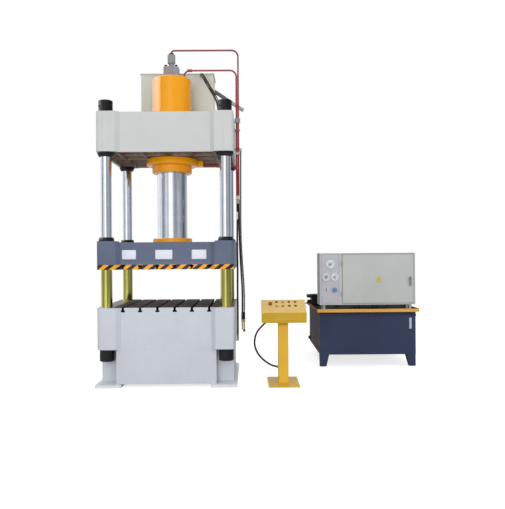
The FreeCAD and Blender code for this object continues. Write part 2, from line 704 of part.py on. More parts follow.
# ---------------------------------------------------------------- crosshead
def make_crosshead():
    z0, z1 = CROSSHEAD_BOTTOM, CROSSHEAD_TOP
    under_plate = z1 - CROSSHEAD_TOP_PLATE
    hub = CYLINDER_D / 2 + 40
    inner_x = BEAM_WIDTH / 2 - CROSSHEAD_WALL
    inner_y = PANEL_Y - CROSSHEAD_WALL
    block_x = BEAM_WIDTH / 2 - BLOCK_WIDTH
    half = RIB_THICKNESS / 2
    ribs = []
    for y in (-hub, 0, hub):
        ribs.append(box(-inner_x, inner_x, y - half, y + half, z0, under_plate))
    for x in (-block_x, -hub, 0, hub, block_x):
        ribs.append(box(x - half, x + half, -inner_y, inner_y, z0, under_plate))
    hub_block = rod(0, 0, z0, under_plate, 2 * hub)
    tubes = [rod(x, y, z0, under_plate, COLUMN_TUBE_D) for x, y in COLUMNS]
    inside = beam_block(z0 - 1, under_plate, CROSSHEAD_WALL)
    body = beam_block(z0, z1).cut(inside)
    body = united([body] + ribs + [hub_block] + tubes)
    bores = column_holes(z0, z1, COLUMN_SPIGOT_D + 2 * SCREW_GAP)
    bores.append(rod(0, 0, z0 - 1, z1 + 1, CYLINDER_SPIGOT_D + 2 * THREAD_GAP))
    body = without(body, bores)
    loom_x, loom_y, loom_z = CABLE_LOOM[-1]
    loom_gland = rod(loom_x, loom_y, z1, loom_z + SLANT_STOCK, LOOM_D + 12)
    loom_gland = trimmed(loom_gland, CABLE_LOOM[::-1])
    conduit_x, conduit_y, conduit_z = SIDE_CONDUIT[0]
    elbow_d = CONDUIT_D + 8
    elbow_z = conduit_z + 26
    elbow = united([bar((BEAM_WIDTH / 2 - 1, conduit_y, elbow_z), RIGHT,
                        conduit_x - BEAM_WIDTH / 2 + 1, elbow_d),
                    rod(conduit_x, conduit_y, conduit_z - SLANT_STOCK, elbow_z, elbow_d),
                    Part.makeSphere(elbow_d / 2, Vec(conduit_x, conduit_y, elbow_z))])
    export("crosshead", united([body, loom_gland, trimmed(elbow, SIDE_CONDUIT)]))


# ---------------------------------------------------------------- cylinder
def screw(x, y, seat, direction, diameter, length, head_d, head):
    """Cap screw whose head stands on its seat, on the side of the given direction."""
    low, high = sorted((seat, seat + direction * head))
    top, end = sorted((seat, seat - direction * length))
    return united([rod(x, y, low, high, head_d), rod(x, y, top, end, diameter)])


def on_circle(count, circle_d):
    for index in range(count):
        angle = 2 * math.pi * (index + 0.5) / count
        yield circle_d / 2 * math.cos(angle), circle_d / 2 * math.sin(angle)


def make_cylinder():
    outer = CYLINDER_D / 2
    spigot = CYLINDER_SPIGOT_D / 2
    bore = CYLINDER_BORE / 2
    fill = FILL_HOLE_D / 2
    profile = [(spigot, GLAND_TOP), (spigot, CROSSHEAD_TOP), (outer, CROSSHEAD_TOP),
               (outer, CYLINDER_TOP - CYLINDER_CHAMFER), (outer - CYLINDER_CHAMFER, CYLINDER_TOP),
               (fill, CYLINDER_TOP), (fill, HEAD_UNDERSIDE), (bore, HEAD_UNDERSIDE),
               (bore, GLAND_TOP)]
    boss = rod(PRESS_BOSS_X, 0, CYLINDER_TOP - 1, CYLINDER_TOP + PRESS_BOSS_HEIGHT, PRESS_BOSS_D)
    barrel = united([turned(profile), boss])
    tools = [rod(PRESS_BOSS_X, 0, HEAD_UNDERSIDE - 1, CYLINDER_TOP, PIPE_D - 4)]
    wall = (spigot + bore) / 2
    hole_d = GLAND_SCREW_D + 2 * SCREW_GAP
    seat = GLAND_BOTTOM + GLAND_SCREW_HEAD + 6
    hole_top = seat + GLAND_SCREW_LENGTH + 4
    for x, y in on_circle(GLAND_SCREWS, 2 * wall):
        tools.append(rod(x, y, GLAND_TOP - 1, hole_top, hole_d))
    export("cylinder_barrel", without(barrel, tools))

    half = LOCK_RING_D / 2
    lock = rod(0, 0, GLAND_TOP, CROSSHEAD_BOTTOM, LOCK_RING_D)
    lower_edge = [edge for edge in lock.Edges
                  if abs(edge.BoundBox.ZMax - GLAND_TOP) < 0.1 and edge.BoundBox.XLength > half]
    lock = lock.makeFillet(LOCK_RING_ROUND, lower_edge)
    lock = lock.cut(rod(0, 0, GLAND_TOP - 1, CROSSHEAD_BOTTOM + 1,
                        CYLINDER_SPIGOT_D + 2 * THREAD_GAP))
    length, depth, height = PORT_BLOCK
    port = box(half - 20, half + length, -depth / 2 + RETURN_PIPE_Y, depth / 2 + RETURN_PIPE_Y,
               GLAND_TOP + 5, GLAND_TOP + 5 + height - 10)
    export("cylinder_lock_ring", united([lock, port]))

    ram_hole = RAM_D / 2 + SEAL_FIT
    seal = SEAL_OUTER_D / 2
    seal_floor = GLAND_TOP - SEAL_HEIGHT
    gland = turned([(ram_hole, GLAND_BOTTOM), (GLAND_D / 2 - GLAND_CHAMFER, GLAND_BOTTOM),
                    (GLAND_D / 2, GLAND_BOTTOM + GLAND_CHAMFER), (GLAND_D / 2, GLAND_TOP),
                    (seal, GLAND_TOP), (seal, seal_floor), (ram_hole, seal_floor)])
    tools = []
    screws = []
    for x, y in on_circle(GLAND_SCREWS, 2 * wall):
        tools.append(rod(x, y, GLAND_BOTTOM - 1, seat, GLAND_SCREW_HEAD_D + 2 * SCREW_GAP))
        tools.append(rod(x, y, seat, GLAND_TOP + 1, hole_d))
        screws.append(screw(x, y, seat, -1, GLAND_SCREW_D, GLAND_SCREW_LENGTH,
                            GLAND_SCREW_HEAD_D, GLAND_SCREW_HEAD))
    export("cylinder_gland", without(gland, tools))
    export("ram_seals", ring(0, 0, seal_floor, GLAND_TOP, SEAL_OUTER_D - 2 * SEAL_FIT,
                             RAM_D + 2 * SEAL_FIT))
    return screws


def make_ram():
    ram = RAM_D / 2
    piston = CYLINDER_BORE / 2 - RUNNING_FIT
    piston_low = GLAND_TOP + PISTON_REST_GAP
    piston_high = piston_low + PISTON_HEIGHT
    profile = [(0, SLIDER_DECK), (ram, SLIDER_DECK), (ram, piston_low), (piston, piston_low),
               (piston, piston_high), (0, piston_high)]
    export("ram", turned(profile))

    top = SLIDER_DECK + RAM_FLANGE_HEIGHT
    flange = rod(0, 0, SLIDER_DECK, top, RAM_FLANGE_D)
    upper_edge = [edge for edge in flange.Edges
                  if abs(edge.BoundBox.ZMin - top) < 0.1 and edge.BoundBox.XLength > 1]
    flange = flange.makeFillet(RAM_FLANGE_ROUND, upper_edge)
    seat = top - SCREW_HEAD - 2
    tools = [rod(0, 0, SLIDER_DECK - 1, top + 1, RAM_D + 2 * THREAD_GAP)]
    screws = []
    for x, y in on_circle(RAM_SCREWS, RAM_SCREW_CIRCLE):
        tools.append(rod(x, y, seat, top + 1, SCREW_HEAD_D + 2 * SCREW_GAP))
        tools.append(rod(x, y, SLIDER_DECK - 1, seat, SCREW_D + 2 * SCREW_GAP))
        screws.append(screw(x, y, seat, 1, SCREW_D, SCREW_LENGTH, SCREW_HEAD_D, SCREW_HEAD))
    export("ram_flange", without(flange, tools))
    export_group("ram_flange_screws", screws)


# ---------------------------------------------------------------- slider
def make_slider():
    beam = beam_block(SLIDER_BOTTOM, SLIDER_DECK)
    pads = beam_block(SLIDER_DECK, SLIDER_TOP)
    inner_x = BEAM_WIDTH / 2 - BLOCK_WIDTH
    inner_y = BEAM_DEPTH / 2 - BLOCK_WIDTH
    x = BEAM_WIDTH / 2 + 1
    y = BEAM_DEPTH / 2 + 1
    pads = without(pads, [box(-inner_x, inner_x, -y, y, SLIDER_DECK, SLIDER_TOP),
                          box(-x, x, -inner_y, inner_y, SLIDER_DECK, SLIDER_TOP)])
    tools = column_holes(SLIDER_BOTTOM, SLIDER_TOP, BUSH_D)
    tools.append(plate_pocket(SLIDER_BOTTOM))
    screw_end = SLIDER_DECK + RAM_FLANGE_HEIGHT - SCREW_HEAD - 2 - SCREW_LENGTH - 4
    for sx, sy in on_circle(RAM_SCREWS, RAM_SCREW_CIRCLE):
        tools.append(rod(sx, sy, screw_end, SLIDER_DECK + 1, SCREW_D + 2 * SCREW_GAP))
    export("slider_beam", without(united([beam, pads]), tools))
    export("slider_plate", slotted_plate(SLIDER_BOTTOM, False))

    bore = COLUMN_D + 2 * RUNNING_FIT
    low = SLIDER_BOTTOM + BUSH_END_GAP
    export_group("guide_bushes", [ring(cx, cy, low, SLIDER_TOP, BUSH_D, bore)
                                  for cx, cy in COLUMNS])
    hole = COLUMN_D / 2 + WIPER_GAP
    top = SLIDER_TOP + WIPER_HEIGHT
    profile = [(hole, SLIDER_TOP), (WIPER_D / 2, SLIDER_TOP), (WIPER_D / 2, top - WIPER_HEIGHT / 2),
               (WIPER_TOP_D / 2, top), (hole, top)]
    export_group("wiper_glands", [turned(profile, cx, cy) for cx, cy in COLUMNS])


# ---------------------------------------------------------------- prefill valve
def make_prefill_valve(gland_screws):
    z0 = CYLINDER_TOP
    block_top = z0 + VALVE_BLOCK_HEIGHT
    block = box(-VALVE_BLOCK_X / 2, VALVE_BLOCK_X / 2, -VALVE_BLOCK_Y / 2, VALVE_BLOCK_Y / 2,
                z0, block_top)
    upright = [edge for edge in block.Edges if edge.BoundBox.ZLength > VALVE_BLOCK_HEIGHT - 1]
    block = block.makeChamfer(VALVE_BLOCK_CHAMFER, upright)
    neck_top = block_top + VALVE_NECK_HEIGHT
    body_top = neck_top + VALVE_BODY_HEIGHT
    edge = 14.0
    neck = VALVE_NECK_D / 2
    body = VALVE_BODY_D / 2
    cap = VALVE_CAP_D / 2
    head = turned([(0, block_top - 1), (neck, block_top - 1), (neck, neck_top),
                   (body, neck_top + edge), (body, body_top - edge), (cap, body_top),
                   (cap, VALVE_TOP), (0, VALVE_TOP)])
    export("prefill_valve", united([block, head]))
    heads = []
    for sx in (-1, 1):
        for sy in (-1, 1):
            heads.append(rod(sx * VALVE_SCREW_SPACING_X / 2 * 0.86, sy * VALVE_SCREW_SPACING_Y / 2 * 0.86,
                             block_top, block_top + VALVE_SCREW_HEAD, VALVE_SCREW_HEAD_D))
    export_group("hydraulic_screws", gland_screws + heads)


# ---------------------------------------------------------------- top tank
def make_top_tank():
    back = TOP_TANK_FRONT + TOP_TANK_DEPTH
    top = CROSSHEAD_TOP + TOP_TANK_HEIGHT
    tank = box(TOP_TANK_LEFT, TOP_TANK_RIGHT, TOP_TANK_FRONT, back,
               CROSSHEAD_TOP, top - TOP_TANK_LID)
    edge = TOP_TANK_LID_EDGE
    lid = box(TOP_TANK_LEFT - edge, TOP_TANK_RIGHT + edge, TOP_TANK_FRONT - edge, back + edge,
              top - TOP_TANK_LID, top)
    start = Vec(TOP_TANK_RIGHT - 2, OVERFLOW_Y, top - OVERFLOW_START_BELOW_LID)
    run = Vec(OVERFLOW_REACH, 0, -OVERFLOW_DROP)
    pipe = bar(tuple(start), run, run.Length, OVERFLOW_D)
    pipe = pipe.cut(bar(tuple(start.add(Vec(run).multiply(0.1))), run, run.Length, OVERFLOW_BORE))
    gland_x, gland_y, gland_z = CABLE_LOOM[0]
    gland = bar((gland_x, gland_y - SLANT_STOCK, gland_z), BACK,
                TOP_TANK_FRONT - gland_y + SLANT_STOCK + 1, LOOM_D + 12)
    export("top_tank", united([tank, lid, pipe, trimmed(gland, CABLE_LOOM)]))


# ---------------------------------------------------------------- pipes
def make_pipes():
    boss_top = CYLINDER_TOP + PRESS_BOSS_HEIGHT
    pilot, _, _ = pipe_with_bends([(0, 0, VALVE_TOP), (0, 0, PILOT_PIPE_Z),
                                   (PILOT_PIPE_X, 0, PILOT_PIPE_Z), (PILOT_PIPE_X, 0, PIPE_END_Z)],
                                  PIPE_D)
    export("pilot_pipe", pilot)
    press, _, _ = pipe_with_bends([(PRESS_BOSS_X, 0, boss_top), (PRESS_BOSS_X, 0, PRESS_PIPE_Z),
                                   (PRESS_PIPE_X, 0, PRESS_PIPE_Z), (PRESS_PIPE_X, 0, PIPE_END_Z)],
                                  PIPE_D)
    union = bar((PRESS_BOSS_X + UNION_START, 0, PRESS_PIPE_Z), RIGHT, UNION_LENGTH,
                PIPE_D + 2 * UNION_WALL)
    export("press_pipe", united([press, union]))
    port_face = LOCK_RING_D / 2 + PORT_BLOCK[0]
    returning, _, _ = pipe_with_bends([(port_face, RETURN_PIPE_Y, RETURN_PIPE_Z),
                                       (PRESS_PIPE_X, RETURN_PIPE_Y, RETURN_PIPE_Z),
                                       (PRESS_PIPE_X, RETURN_PIPE_Y, PIPE_END_Z)],
                                      RETURN_PIPE_D)
    export("return_pipe", returning)

    fittings = []
    for route in (PILOT_HOSE, PRESS_HOSE, RETURN_HOSE):
        x, y, z = route[0]
        width = CLAMP_NUT_WIDTH if y == 0 else FITTING_D
        nut = box(x - width / 2, x + width / 2, y - FITTING_D / 2 + 2, y + FITTING_D / 2 - 2,
                  z - SLANT_STOCK, PIPE_END_Z)
        fittings.append(trimmed(nut, route))
    for level in CLAMP_LEVELS:
        fittings.append(pipe_clamp(level))
    export_group("pipe_fittings", fittings)


def pipe_with_bends(points, diameter):
    """Steel tube: a tight elbow where it leaves its port, wide bends after it."""
    corners = [Vec(*point) for point in points]
    edges = []
    begin = corners[0]
    lengths = [a.distanceToPoint(b) for a, b in zip(corners, corners[1:])]
    for index, corner in enumerate(corners[1:-1]):
        radius = min(PIPE_BEND, 0.9 * min(lengths[index], lengths[index + 1]))
        incoming = corner.sub(corners[index]).normalize()
        outgoing = corners[index + 2].sub(corner).normalize()
        arc_in = corner.sub(Vec(incoming).multiply(radius))
        arc_out = corner.add(Vec(outgoing).multiply(radius))
        inward = Vec(outgoing).sub(incoming).normalize()
        middle = corner.add(inward.multiply(radius * (math.sqrt(2) - 1)))
        edges.append(Part.LineSegment(begin, arc_in).toShape())
        edges.append(Part.Arc(arc_in, middle, arc_out).toShape())
        begin = arc_out
    edges.append(Part.LineSegment(begin, corners[-1]).toShape())
    path = Part.Wire(edges)
    section = Part.Wire([Part.Circle(corners[0], corners[1].sub(corners[0]), diameter / 2).toShape()])
    return path.makePipeShell([section], True, False), path.Length, radius


def pipe_clamp(level):
    """Block on the crosshead's side that holds the two upright pipes."""
    wall = BEAM_WIDTH / 2
    block = box(wall, PILOT_PIPE_X + PIPE_D / 2 + CLAMP_WRAP,
                -PIPE_D / 2 - CLAMP_WRAP, PIPE_D / 2 + CLAMP_WRAP,
                level - CLAMP_HEIGHT / 2, level + CLAMP_HEIGHT / 2)
    holes = [rod(x, 0, level - CLAMP_HEIGHT, level + CLAMP_HEIGHT, PIPE_D + 2 * THREAD_GAP)
             for x in (PILOT_PIPE_X, PRESS_PIPE_X)]
    return without(block, holes)


def hose_end(route, capped):
    """Crimped ferrule, nut and stem below the end of a hanging hose."""
    x, y, z = route[-1]
    nut_top = z - FERRULE_HEIGHT
    stem_top = nut_top - HOSE_NUT_HEIGHT
    stem_end = stem_top - HOSE_STEM_HEIGHT
    ferrule = rod(x, y, nut_top, z + SLANT_STOCK, FERRULE_D)
    pieces = [trimmed(ferrule, route[::-1]), rod(x, y, stem_top, nut_top, HOSE_NUT_D),
              rod(x, y, stem_end, stem_top, HOSE_STEM_D)]
    if capped:
        pieces.append(rod(x, y, stem_end - HOSE_CAP_HEIGHT, stem_end, HOSE_CAP_D))
    return united(pieces)


def make_hoses():
    cord("press_hose", PRESS_HOSE, HOSE_D)
    cord("return_hose", RETURN_HOSE, HOSE_D)
    cord("pilot_hose", PILOT_HOSE, HOSE_D)
    cord("side_conduit", SIDE_CONDUIT, HOSE_D)
    cord("cable_loom", CABLE_LOOM, LOOM_D)
    cord("pedestal_conduit", PEDESTAL_CONDUIT, CONDUIT_D)
    export_group("hose_end_fittings", [hose_end(PILOT_HOSE, False),
                                       hose_end(SIDE_CONDUIT, True)])


# ---------------------------------------------------------------- control pedestal
PANEL_RISE = CONSOLE_BACK_HEIGHT - CONSOLE_FRONT_HEIGHT
PANEL_SLOPE = math.degrees(math.atan2(PANEL_RISE, CONSOLE_DEPTH))


def on_panel(shape, column, row):
    """Move a shape drawn on the XY plane to a place on the sloping panel."""
    shape.rotate(Vec(0, 0, 0), RIGHT, PANEL_SLOPE)
    shape.translate(Vec(PEDESTAL_X + column * BUTTON_PITCH,
                        CONSOLE_FRONT + row * CONSOLE_DEPTH,
                        CONSOLE_BOTTOM + CONSOLE_FRONT_HEIGHT + row * PANEL_RISE))
    return shape


# One entry for each place on the panel: name, column and row.
PANEL_PLACES = [("stop", STOP_COLUMN, STOP_ROW)]
BUTTON_NAMES = (("lamp_white", "button_yellow", "button_red", "button_green"),
                ("button_dark", "lamp_green", "button_black", "button_start"))
for row_share, names in zip(BUTTON_ROWS, BUTTON_NAMES):
    for column, place_name in enumerate(names):
        PANEL_PLACES.append((place_name, column - 1, row_share))


def make_pedestal():
    half = PEDESTAL_FOOT_WIDTH / 2
    foot = box(PEDESTAL_X - half, PEDESTAL_X + half, PEDESTAL_FOOT_FRONT,
               PEDESTAL_FOOT_FRONT + PEDESTAL_FOOT_DEPTH, 0, PEDESTAL_FOOT)
    post = box(PEDESTAL_X - POST_SIZE / 2, PEDESTAL_X + POST_SIZE / 2, POST_FRONT,
               POST_FRONT + POST_SIZE, PEDESTAL_FOOT - 1, CONSOLE_BOTTOM)
    upright = [edge for edge in post.Edges if edge.BoundBox.ZLength > POST_SIZE]
    post = post.makeFillet(POST_RADIUS, upright)
    end = Vec(*PEDESTAL_CONDUIT[-1])
    end.x -= SLANT_STOCK
    gland = bar(tuple(end), RIGHT, PEDESTAL_X - POST_SIZE / 2 - end.x + 1, CONDUIT_GLAND_D)
    gland = trimmed(gland, PEDESTAL_CONDUIT[::-1])
    export("pedestal_stand", united([foot, post, gland]))

    left = CONSOLE_CENTRE_X - CONSOLE_WIDTH / 2
    back = CONSOLE_FRONT + CONSOLE_DEPTH
    front_top = CONSOLE_BOTTOM + CONSOLE_FRONT_HEIGHT
    back_top = CONSOLE_BOTTOM + CONSOLE_BACK_HEIGHT
    outline = [(left, CONSOLE_FRONT, CONSOLE_BOTTOM), (left, back, CONSOLE_BOTTOM),
               (left, back, back_top), (left, CONSOLE_FRONT, front_top)]
    console = extruded(outline, Vec(CONSOLE_WIDTH, 0, 0))
    console = console.makeFillet(CONSOLE_EDGE, console.Edges)
    x, y, z = PEDESTAL_CONDUIT[0]
    gland = rod(x, y, z - SLANT_STOCK, CONSOLE_BOTTOM + 1, CONDUIT_GLAND_D)
    gland = trimmed(gland, PEDESTAL_CONDUIT)
    sleeve_d = BUTTON_D + 2 * BEZEL_SLEEVE_WALL + 2 * RUNNING_FIT
    holes = []
    bezels = []
    lamps = []
    for name, column, row in PANEL_PLACES:
        holes.append(on_panel(rod(0, 0, -BUTTON_HOLE_DEPTH, 20, sleeve_d), column, row))
        bore = BUTTON_D + 2 * RUNNING_FIT
        bezel = united([ring(0, 0, 0, BEZEL_HEIGHT, BEZEL_D, bore),
                        ring(0, 0, -BEZEL_SLEEVE, 0, sleeve_d, bore)])
        bezels.append(on_panel(bezel, column, row))
        if name == "stop":
            stem_low = -BUTTON_STEM
            neck = STOP_PROUD - STOP_HEAD_HEIGHT
            head = rod(0, 0, neck, STOP_PROUD, STOP_HEAD_D)
            crown = [edge for edge in head.Edges if abs(edge.BoundBox.ZMin - STOP_PROUD) < 0.1]
            head = head.makeFillet(5, crown)
            piece = united([rod(0, 0, stem_low, neck, BUTTON_D), head])
            export("stop_button", on_panel(piece, column, row))
        elif name.startswith("lamp"):
            radius = BUTTON_D / 2
            lamp = turned([(0, -BUTTON_STEM), (radius, -BUTTON_STEM), (radius, BEZEL_HEIGHT),
                           (radius - LAMP_DOME, BEZEL_HEIGHT + LAMP_DOME),
                           (0, BEZEL_HEIGHT + LAMP_DOME + 2)])
            lamps.append(on_panel(lamp, column, row))
        else:
            cap = rod(0, 0, -BUTTON_STEM, BUTTON_PROUD, BUTTON_D)
            export(name, on_panel(cap, column, row))
    export("console_box", without(united([console, gland]), holes))
    export_group("button_bezels", bezels)
    export_group("indicator_lamps", lamps)


# ---------------------------------------------------------------- power unit
def leg(x0, x1, y0, y1, foot_x, foot_y):
    """Tapered leg: a full-size top and a smaller foot."""
    def rectangle(ax, bx, ay, by, z):
        corners = [Vec(ax, ay, z), Vec(bx, ay, z), Vec(bx, by, z), Vec(ax, by, z)]
        return Part.makePolygon(corners + corners[:1])
    fx0, fx1 = foot_x
    fy0, fy1 = foot_y
    return Part.makeLoft([rectangle(x0, x1, y0, y1, TANK_BOTTOM),
                          rectangle(fx0, fx1, fy0, fy1, 0)], True, True)


def make_oil_tank():
    back = UNIT_FRONT + UNIT_DEPTH
    tank = box(UNIT_LEFT, UNIT_RIGHT, UNIT_FRONT, back, TANK_BOTTOM, TANK_TOP)
    legs = []
    for right in (False, True):
        for rear in (False, True):
            inset = REAR_LEG_INSET if rear else 0
            x0 = UNIT_RIGHT - inset - LEG_TOP if right else UNIT_LEFT + inset
            x1 = x0 + LEG_TOP
            y0 = back - LEG_TOP if rear else UNIT_FRONT
            y1 = y0 + LEG_TOP
            foot_x = (x1 - LEG_FOOT, x1) if right else (x0, x0 + LEG_FOOT)
            foot_y = (y1 - LEG_FOOT, y1) if rear else (y0, y0 + LEG_FOOT)
            legs.append(leg(x0, x1, y0, y1, foot_x, foot_y))
    filler = bar((UNIT_RIGHT - 1, UNIT_FRONT + FILLER_CAP_D, FILLER_CAP_Z), RIGHT,
                 FILLER_CAP + 1, FILLER_CAP_D)
    export("oil_tank", united([tank, filler] + legs))
    sight = LEVEL_GAUGE
    gauge = box(LEVEL_GAUGE_X - sight[0] / 2, LEVEL_GAUGE_X + sight[0] / 2,
                UNIT_FRONT - sight[1], UNIT_FRONT,
                LEVEL_GAUGE_Z - sight[2] / 2, LEVEL_GAUGE_Z + sight[2] / 2)
    export("level_gauge", gauge.makeFillet(5, [edge for edge in gauge.Edges
                                               if edge.BoundBox.YLength < 1
                                               and edge.BoundBox.YMin < UNIT_FRONT - 1]))
    over = RIM_OVERHANG
    rim = box(UNIT_LEFT - over, UNIT_RIGHT + over, UNIT_FRONT - over, back + over,
              TANK_TOP, LID_TOP)
    under = box(UNIT_LEFT - over + RIM_WALL, UNIT_RIGHT + over - RIM_WALL,
                UNIT_FRONT - over + RIM_WALL, back + over - RIM_WALL,
                LID_FLOOR, LID_TOP)
    export("tank_lid", rim.cut(under))


def make_cabinet():
    y0 = UNIT_FRONT
    y1 = UNIT_FRONT + CABINET_DEPTH
    wall = CABINET_WALL
    outer = box(UNIT_LEFT, UNIT_RIGHT, y0, y1, CABINET_BOTTOM, CABINET_TOP)
    divider = UNIT_LEFT + PANEL_STRIP
    left_room = box(UNIT_LEFT + wall, divider - wall, y0 + wall, y1 - wall,
                    CABINET_BOTTOM + wall, CABINET_TOP - wall)
    right_room = box(divider, UNIT_RIGHT - wall, y0 + wall, y1 - wall,
                     CABINET_BOTTOM + wall, CABINET_TOP - wall)
    doorway = box(DOOR_LEFT, DOOR_RIGHT, y0 - 1, y0 + wall + 1, DOOR_BOTTOM, DOOR_TOP)
    shell = without(outer, [left_room, right_room, doorway])
    pieces = [shell]
    for x in (UNIT_LEFT + FEET_INSET, UNIT_RIGHT - FEET_INSET):
        for y in (y0 + FEET_INSET, y1 - FEET_INSET):
            pieces.append(rod(x, y, LID_FLOOR, CABINET_BOTTOM + 1, CABINET_FOOT_D))
    edge = BACKPLATE_EDGE
    plate_front = y1 - wall - BACKPLATE_GAP - wall
    pieces.append(box(DOOR_LEFT + edge, DOOR_RIGHT - edge, plate_front, plate_front + wall,
                      DOOR_BOTTOM + edge, DOOR_TOP - edge))
    for x in (DOOR_LEFT + STANDOFF_EDGE, DOOR_RIGHT - STANDOFF_EDGE):
        for z in (DOOR_BOTTOM + STANDOFF_EDGE, DOOR_TOP - STANDOFF_EDGE):
            pieces.append(bar((x, y1 - wall, z), Vec(0, -1, 0), BACKPLATE_GAP + 1, STANDOFF_D))
    for level in HINGE_LEVELS:
        pieces.append(rod(HINGE_X, HINGE_Y, level - HINGE_KNUCKLE, level, HINGE_D))
        pieces.append(box(HINGE_X - HINGE_D / 2, HINGE_X, HINGE_Y, y0 + 1,
                          level - HINGE_KNUCKLE, level))
        pieces.append(rod(HINGE_X, HINGE_Y, level - 1, level + HINGE_KNUCKLE - 2, HINGE_PIN_D))
    cabinet = united(pieces)
    tools = [bar((x, y0 - 1, z), BACK, wall + 2, GAUGE_STEM_D) for _, x, z, _ in GAUGES]
    tools.append(bar((KNOB_X, y0 - 1, KNOB_Z), BACK, wall + 2, KNOB_SHAFT_D + 2 * RUNNING_FIT))
    tools.append(bar((SELECTOR_X, y0 - 1, SELECTOR_Z), BACK, wall + 2,
                     KNOB_SHAFT_D + 2 * RUNNING_FIT))
    export("cabinet", without(cabinet, tools))


def make_door():
    x0, x1 = DOOR_LEFT + DOOR_GAP, DOOR_RIGHT - DOOR_GAP
    z0, z1 = DOOR_BOTTOM + DOOR_GAP, DOOR_TOP - DOOR_GAP
    front = UNIT_FRONT - DOOR_PROUD
    sheet = DOOR_SHEET
    panel = box(x0, x1, front, front + DOOR_THICKNESS, z0, z1)
    panel = panel.cut(box(x0 + sheet, x1 - sheet, front + sheet, front + DOOR_THICKNESS + 1,
                          z0 + sheet, z1 - sheet))
    pieces = [panel]
    knuckle_gap = 0.5
    for level in HINGE_LEVELS:
        low = level + knuckle_gap
        high = level + HINGE_KNUCKLE
        knuckle = united([rod(HINGE_X, HINGE_Y, low, high, HINGE_D),
                          box(HINGE_X, x0 + 20, HINGE_Y - HINGE_D / 2, HINGE_Y - HINGE_D / 2 + 4,
                              low, high),
                          box(x0 + 10, x0 + 20, HINGE_Y - HINGE_D / 2, front + 1, low, high)])
        pieces.append(knuckle)
    door = united(pieces)
    tools = [rod(HINGE_X, HINGE_Y, level - 1, level + HINGE_KNUCKLE - 1,
                 HINGE_PIN_D + 2 * RUNNING_FIT) for level in HINGE_LEVELS]
    tools.append(bar((HANDLE_X, front - 1, HANDLE_PIVOT_Z), BACK, sheet + 2,
                     HANDLE_SHAFT_D + 2 * RUNNING_FIT))
    export("cabinet_door", without(door, tools))

    grip_back = front - HANDLE_STANDOFF
    low = HANDLE_PIVOT_Z + HANDLE_WIDTH / 2 - HANDLE_LENGTH
    half = HANDLE_WIDTH / 2
    grip = box(HANDLE_X - half, HANDLE_X + half, grip_back - HANDLE_THICKNESS, grip_back,
               low, HANDLE_PIVOT_Z)
    head = bar((HANDLE_X, grip_back - HANDLE_THICKNESS, HANDLE_PIVOT_Z), BACK,
               HANDLE_THICKNESS, HANDLE_WIDTH)
    shaft_end = front + DOOR_THICKNESS + LATCH_CAM[1] - 1
    shaft = bar((HANDLE_X, grip_back - 1, HANDLE_PIVOT_Z), BACK, shaft_end - grip_back + 1,
                HANDLE_SHAFT_D)
    collar = bar((HANDLE_X, front - HANDLE_STANDOFF, HANDLE_PIVOT_Z), BACK,
                 HANDLE_STANDOFF - 0.3, HANDLE_SHAFT_D + 10)
    cam_y = shaft_end - LATCH_CAM[1]
    cam = box(HANDLE_X - LATCH_CAM[2] / 2, HANDLE_X + LATCH_CAM[0], cam_y, shaft_end,
              HANDLE_PIVOT_Z - LATCH_CAM[2] / 2, HANDLE_PIVOT_Z + LATCH_CAM[2] / 2)
    export("door_handle", united([grip, head, shaft, collar, cam]))


def make_gauges():
    front = UNIT_FRONT - GAUGE_PROUD
    cases = []
    forward = Vec(0, -1, 0)
    for name, x, z, diameter in GAUGES:
        dial = front + GAUGE_DIAL_DEPTH
        case = bar((x, UNIT_FRONT, z), forward, GAUGE_PROUD, diameter)
        rim = [edge for edge in case.Edges
               if abs(edge.BoundBox.YMax - front) < 0.1 and edge.BoundBox.XLength > 1]
        case = case.makeFillet(4, rim)
        stem = bar((x, UNIT_FRONT - 1, z), BACK, PANEL_HOLE_DEPTH, GAUGE_STEM_D - 2 * THREAD_GAP)
        recess = bar((x, front - 1, z), BACK, GAUGE_DIAL_DEPTH + 1, diameter - 2 * GAUGE_RIM)
        pin_hole = bar((x, dial - 1, z), BACK, 7, NEEDLE_PIN_D + 2 * RUNNING_FIT)
        cases.append(without(united([case, stem]), [recess, pin_hole]))
        back = dial - 0.6
        length = diameter / 2 - GAUGE_RIM - 6
        half = NEEDLE_WIDTH / 2
        blade = extruded([(-half, 0, -14), (half, 0, -14), (half, 0, 0), (0.5, 0, length),
                          (-0.5, 0, length), (-half, 0, 0)], Vec(0, -NEEDLE_THICKNESS, 0))
        hub = bar((0, 0, 0), forward, NEEDLE_THICKNESS + 1.5, NEEDLE_HUB_D)
        pin = bar((0, -1, 0), BACK, 6, NEEDLE_PIN_D)
        needle = united([blade, hub, pin])
        needle.rotate(Vec(0, 0, 0), BACK, NEEDLE_REST_ANGLE)
        needle.translate(Vec(x, back, z))
        export("gauge_needle_" + name, needle)
    export_group("gauge_cases", cases)


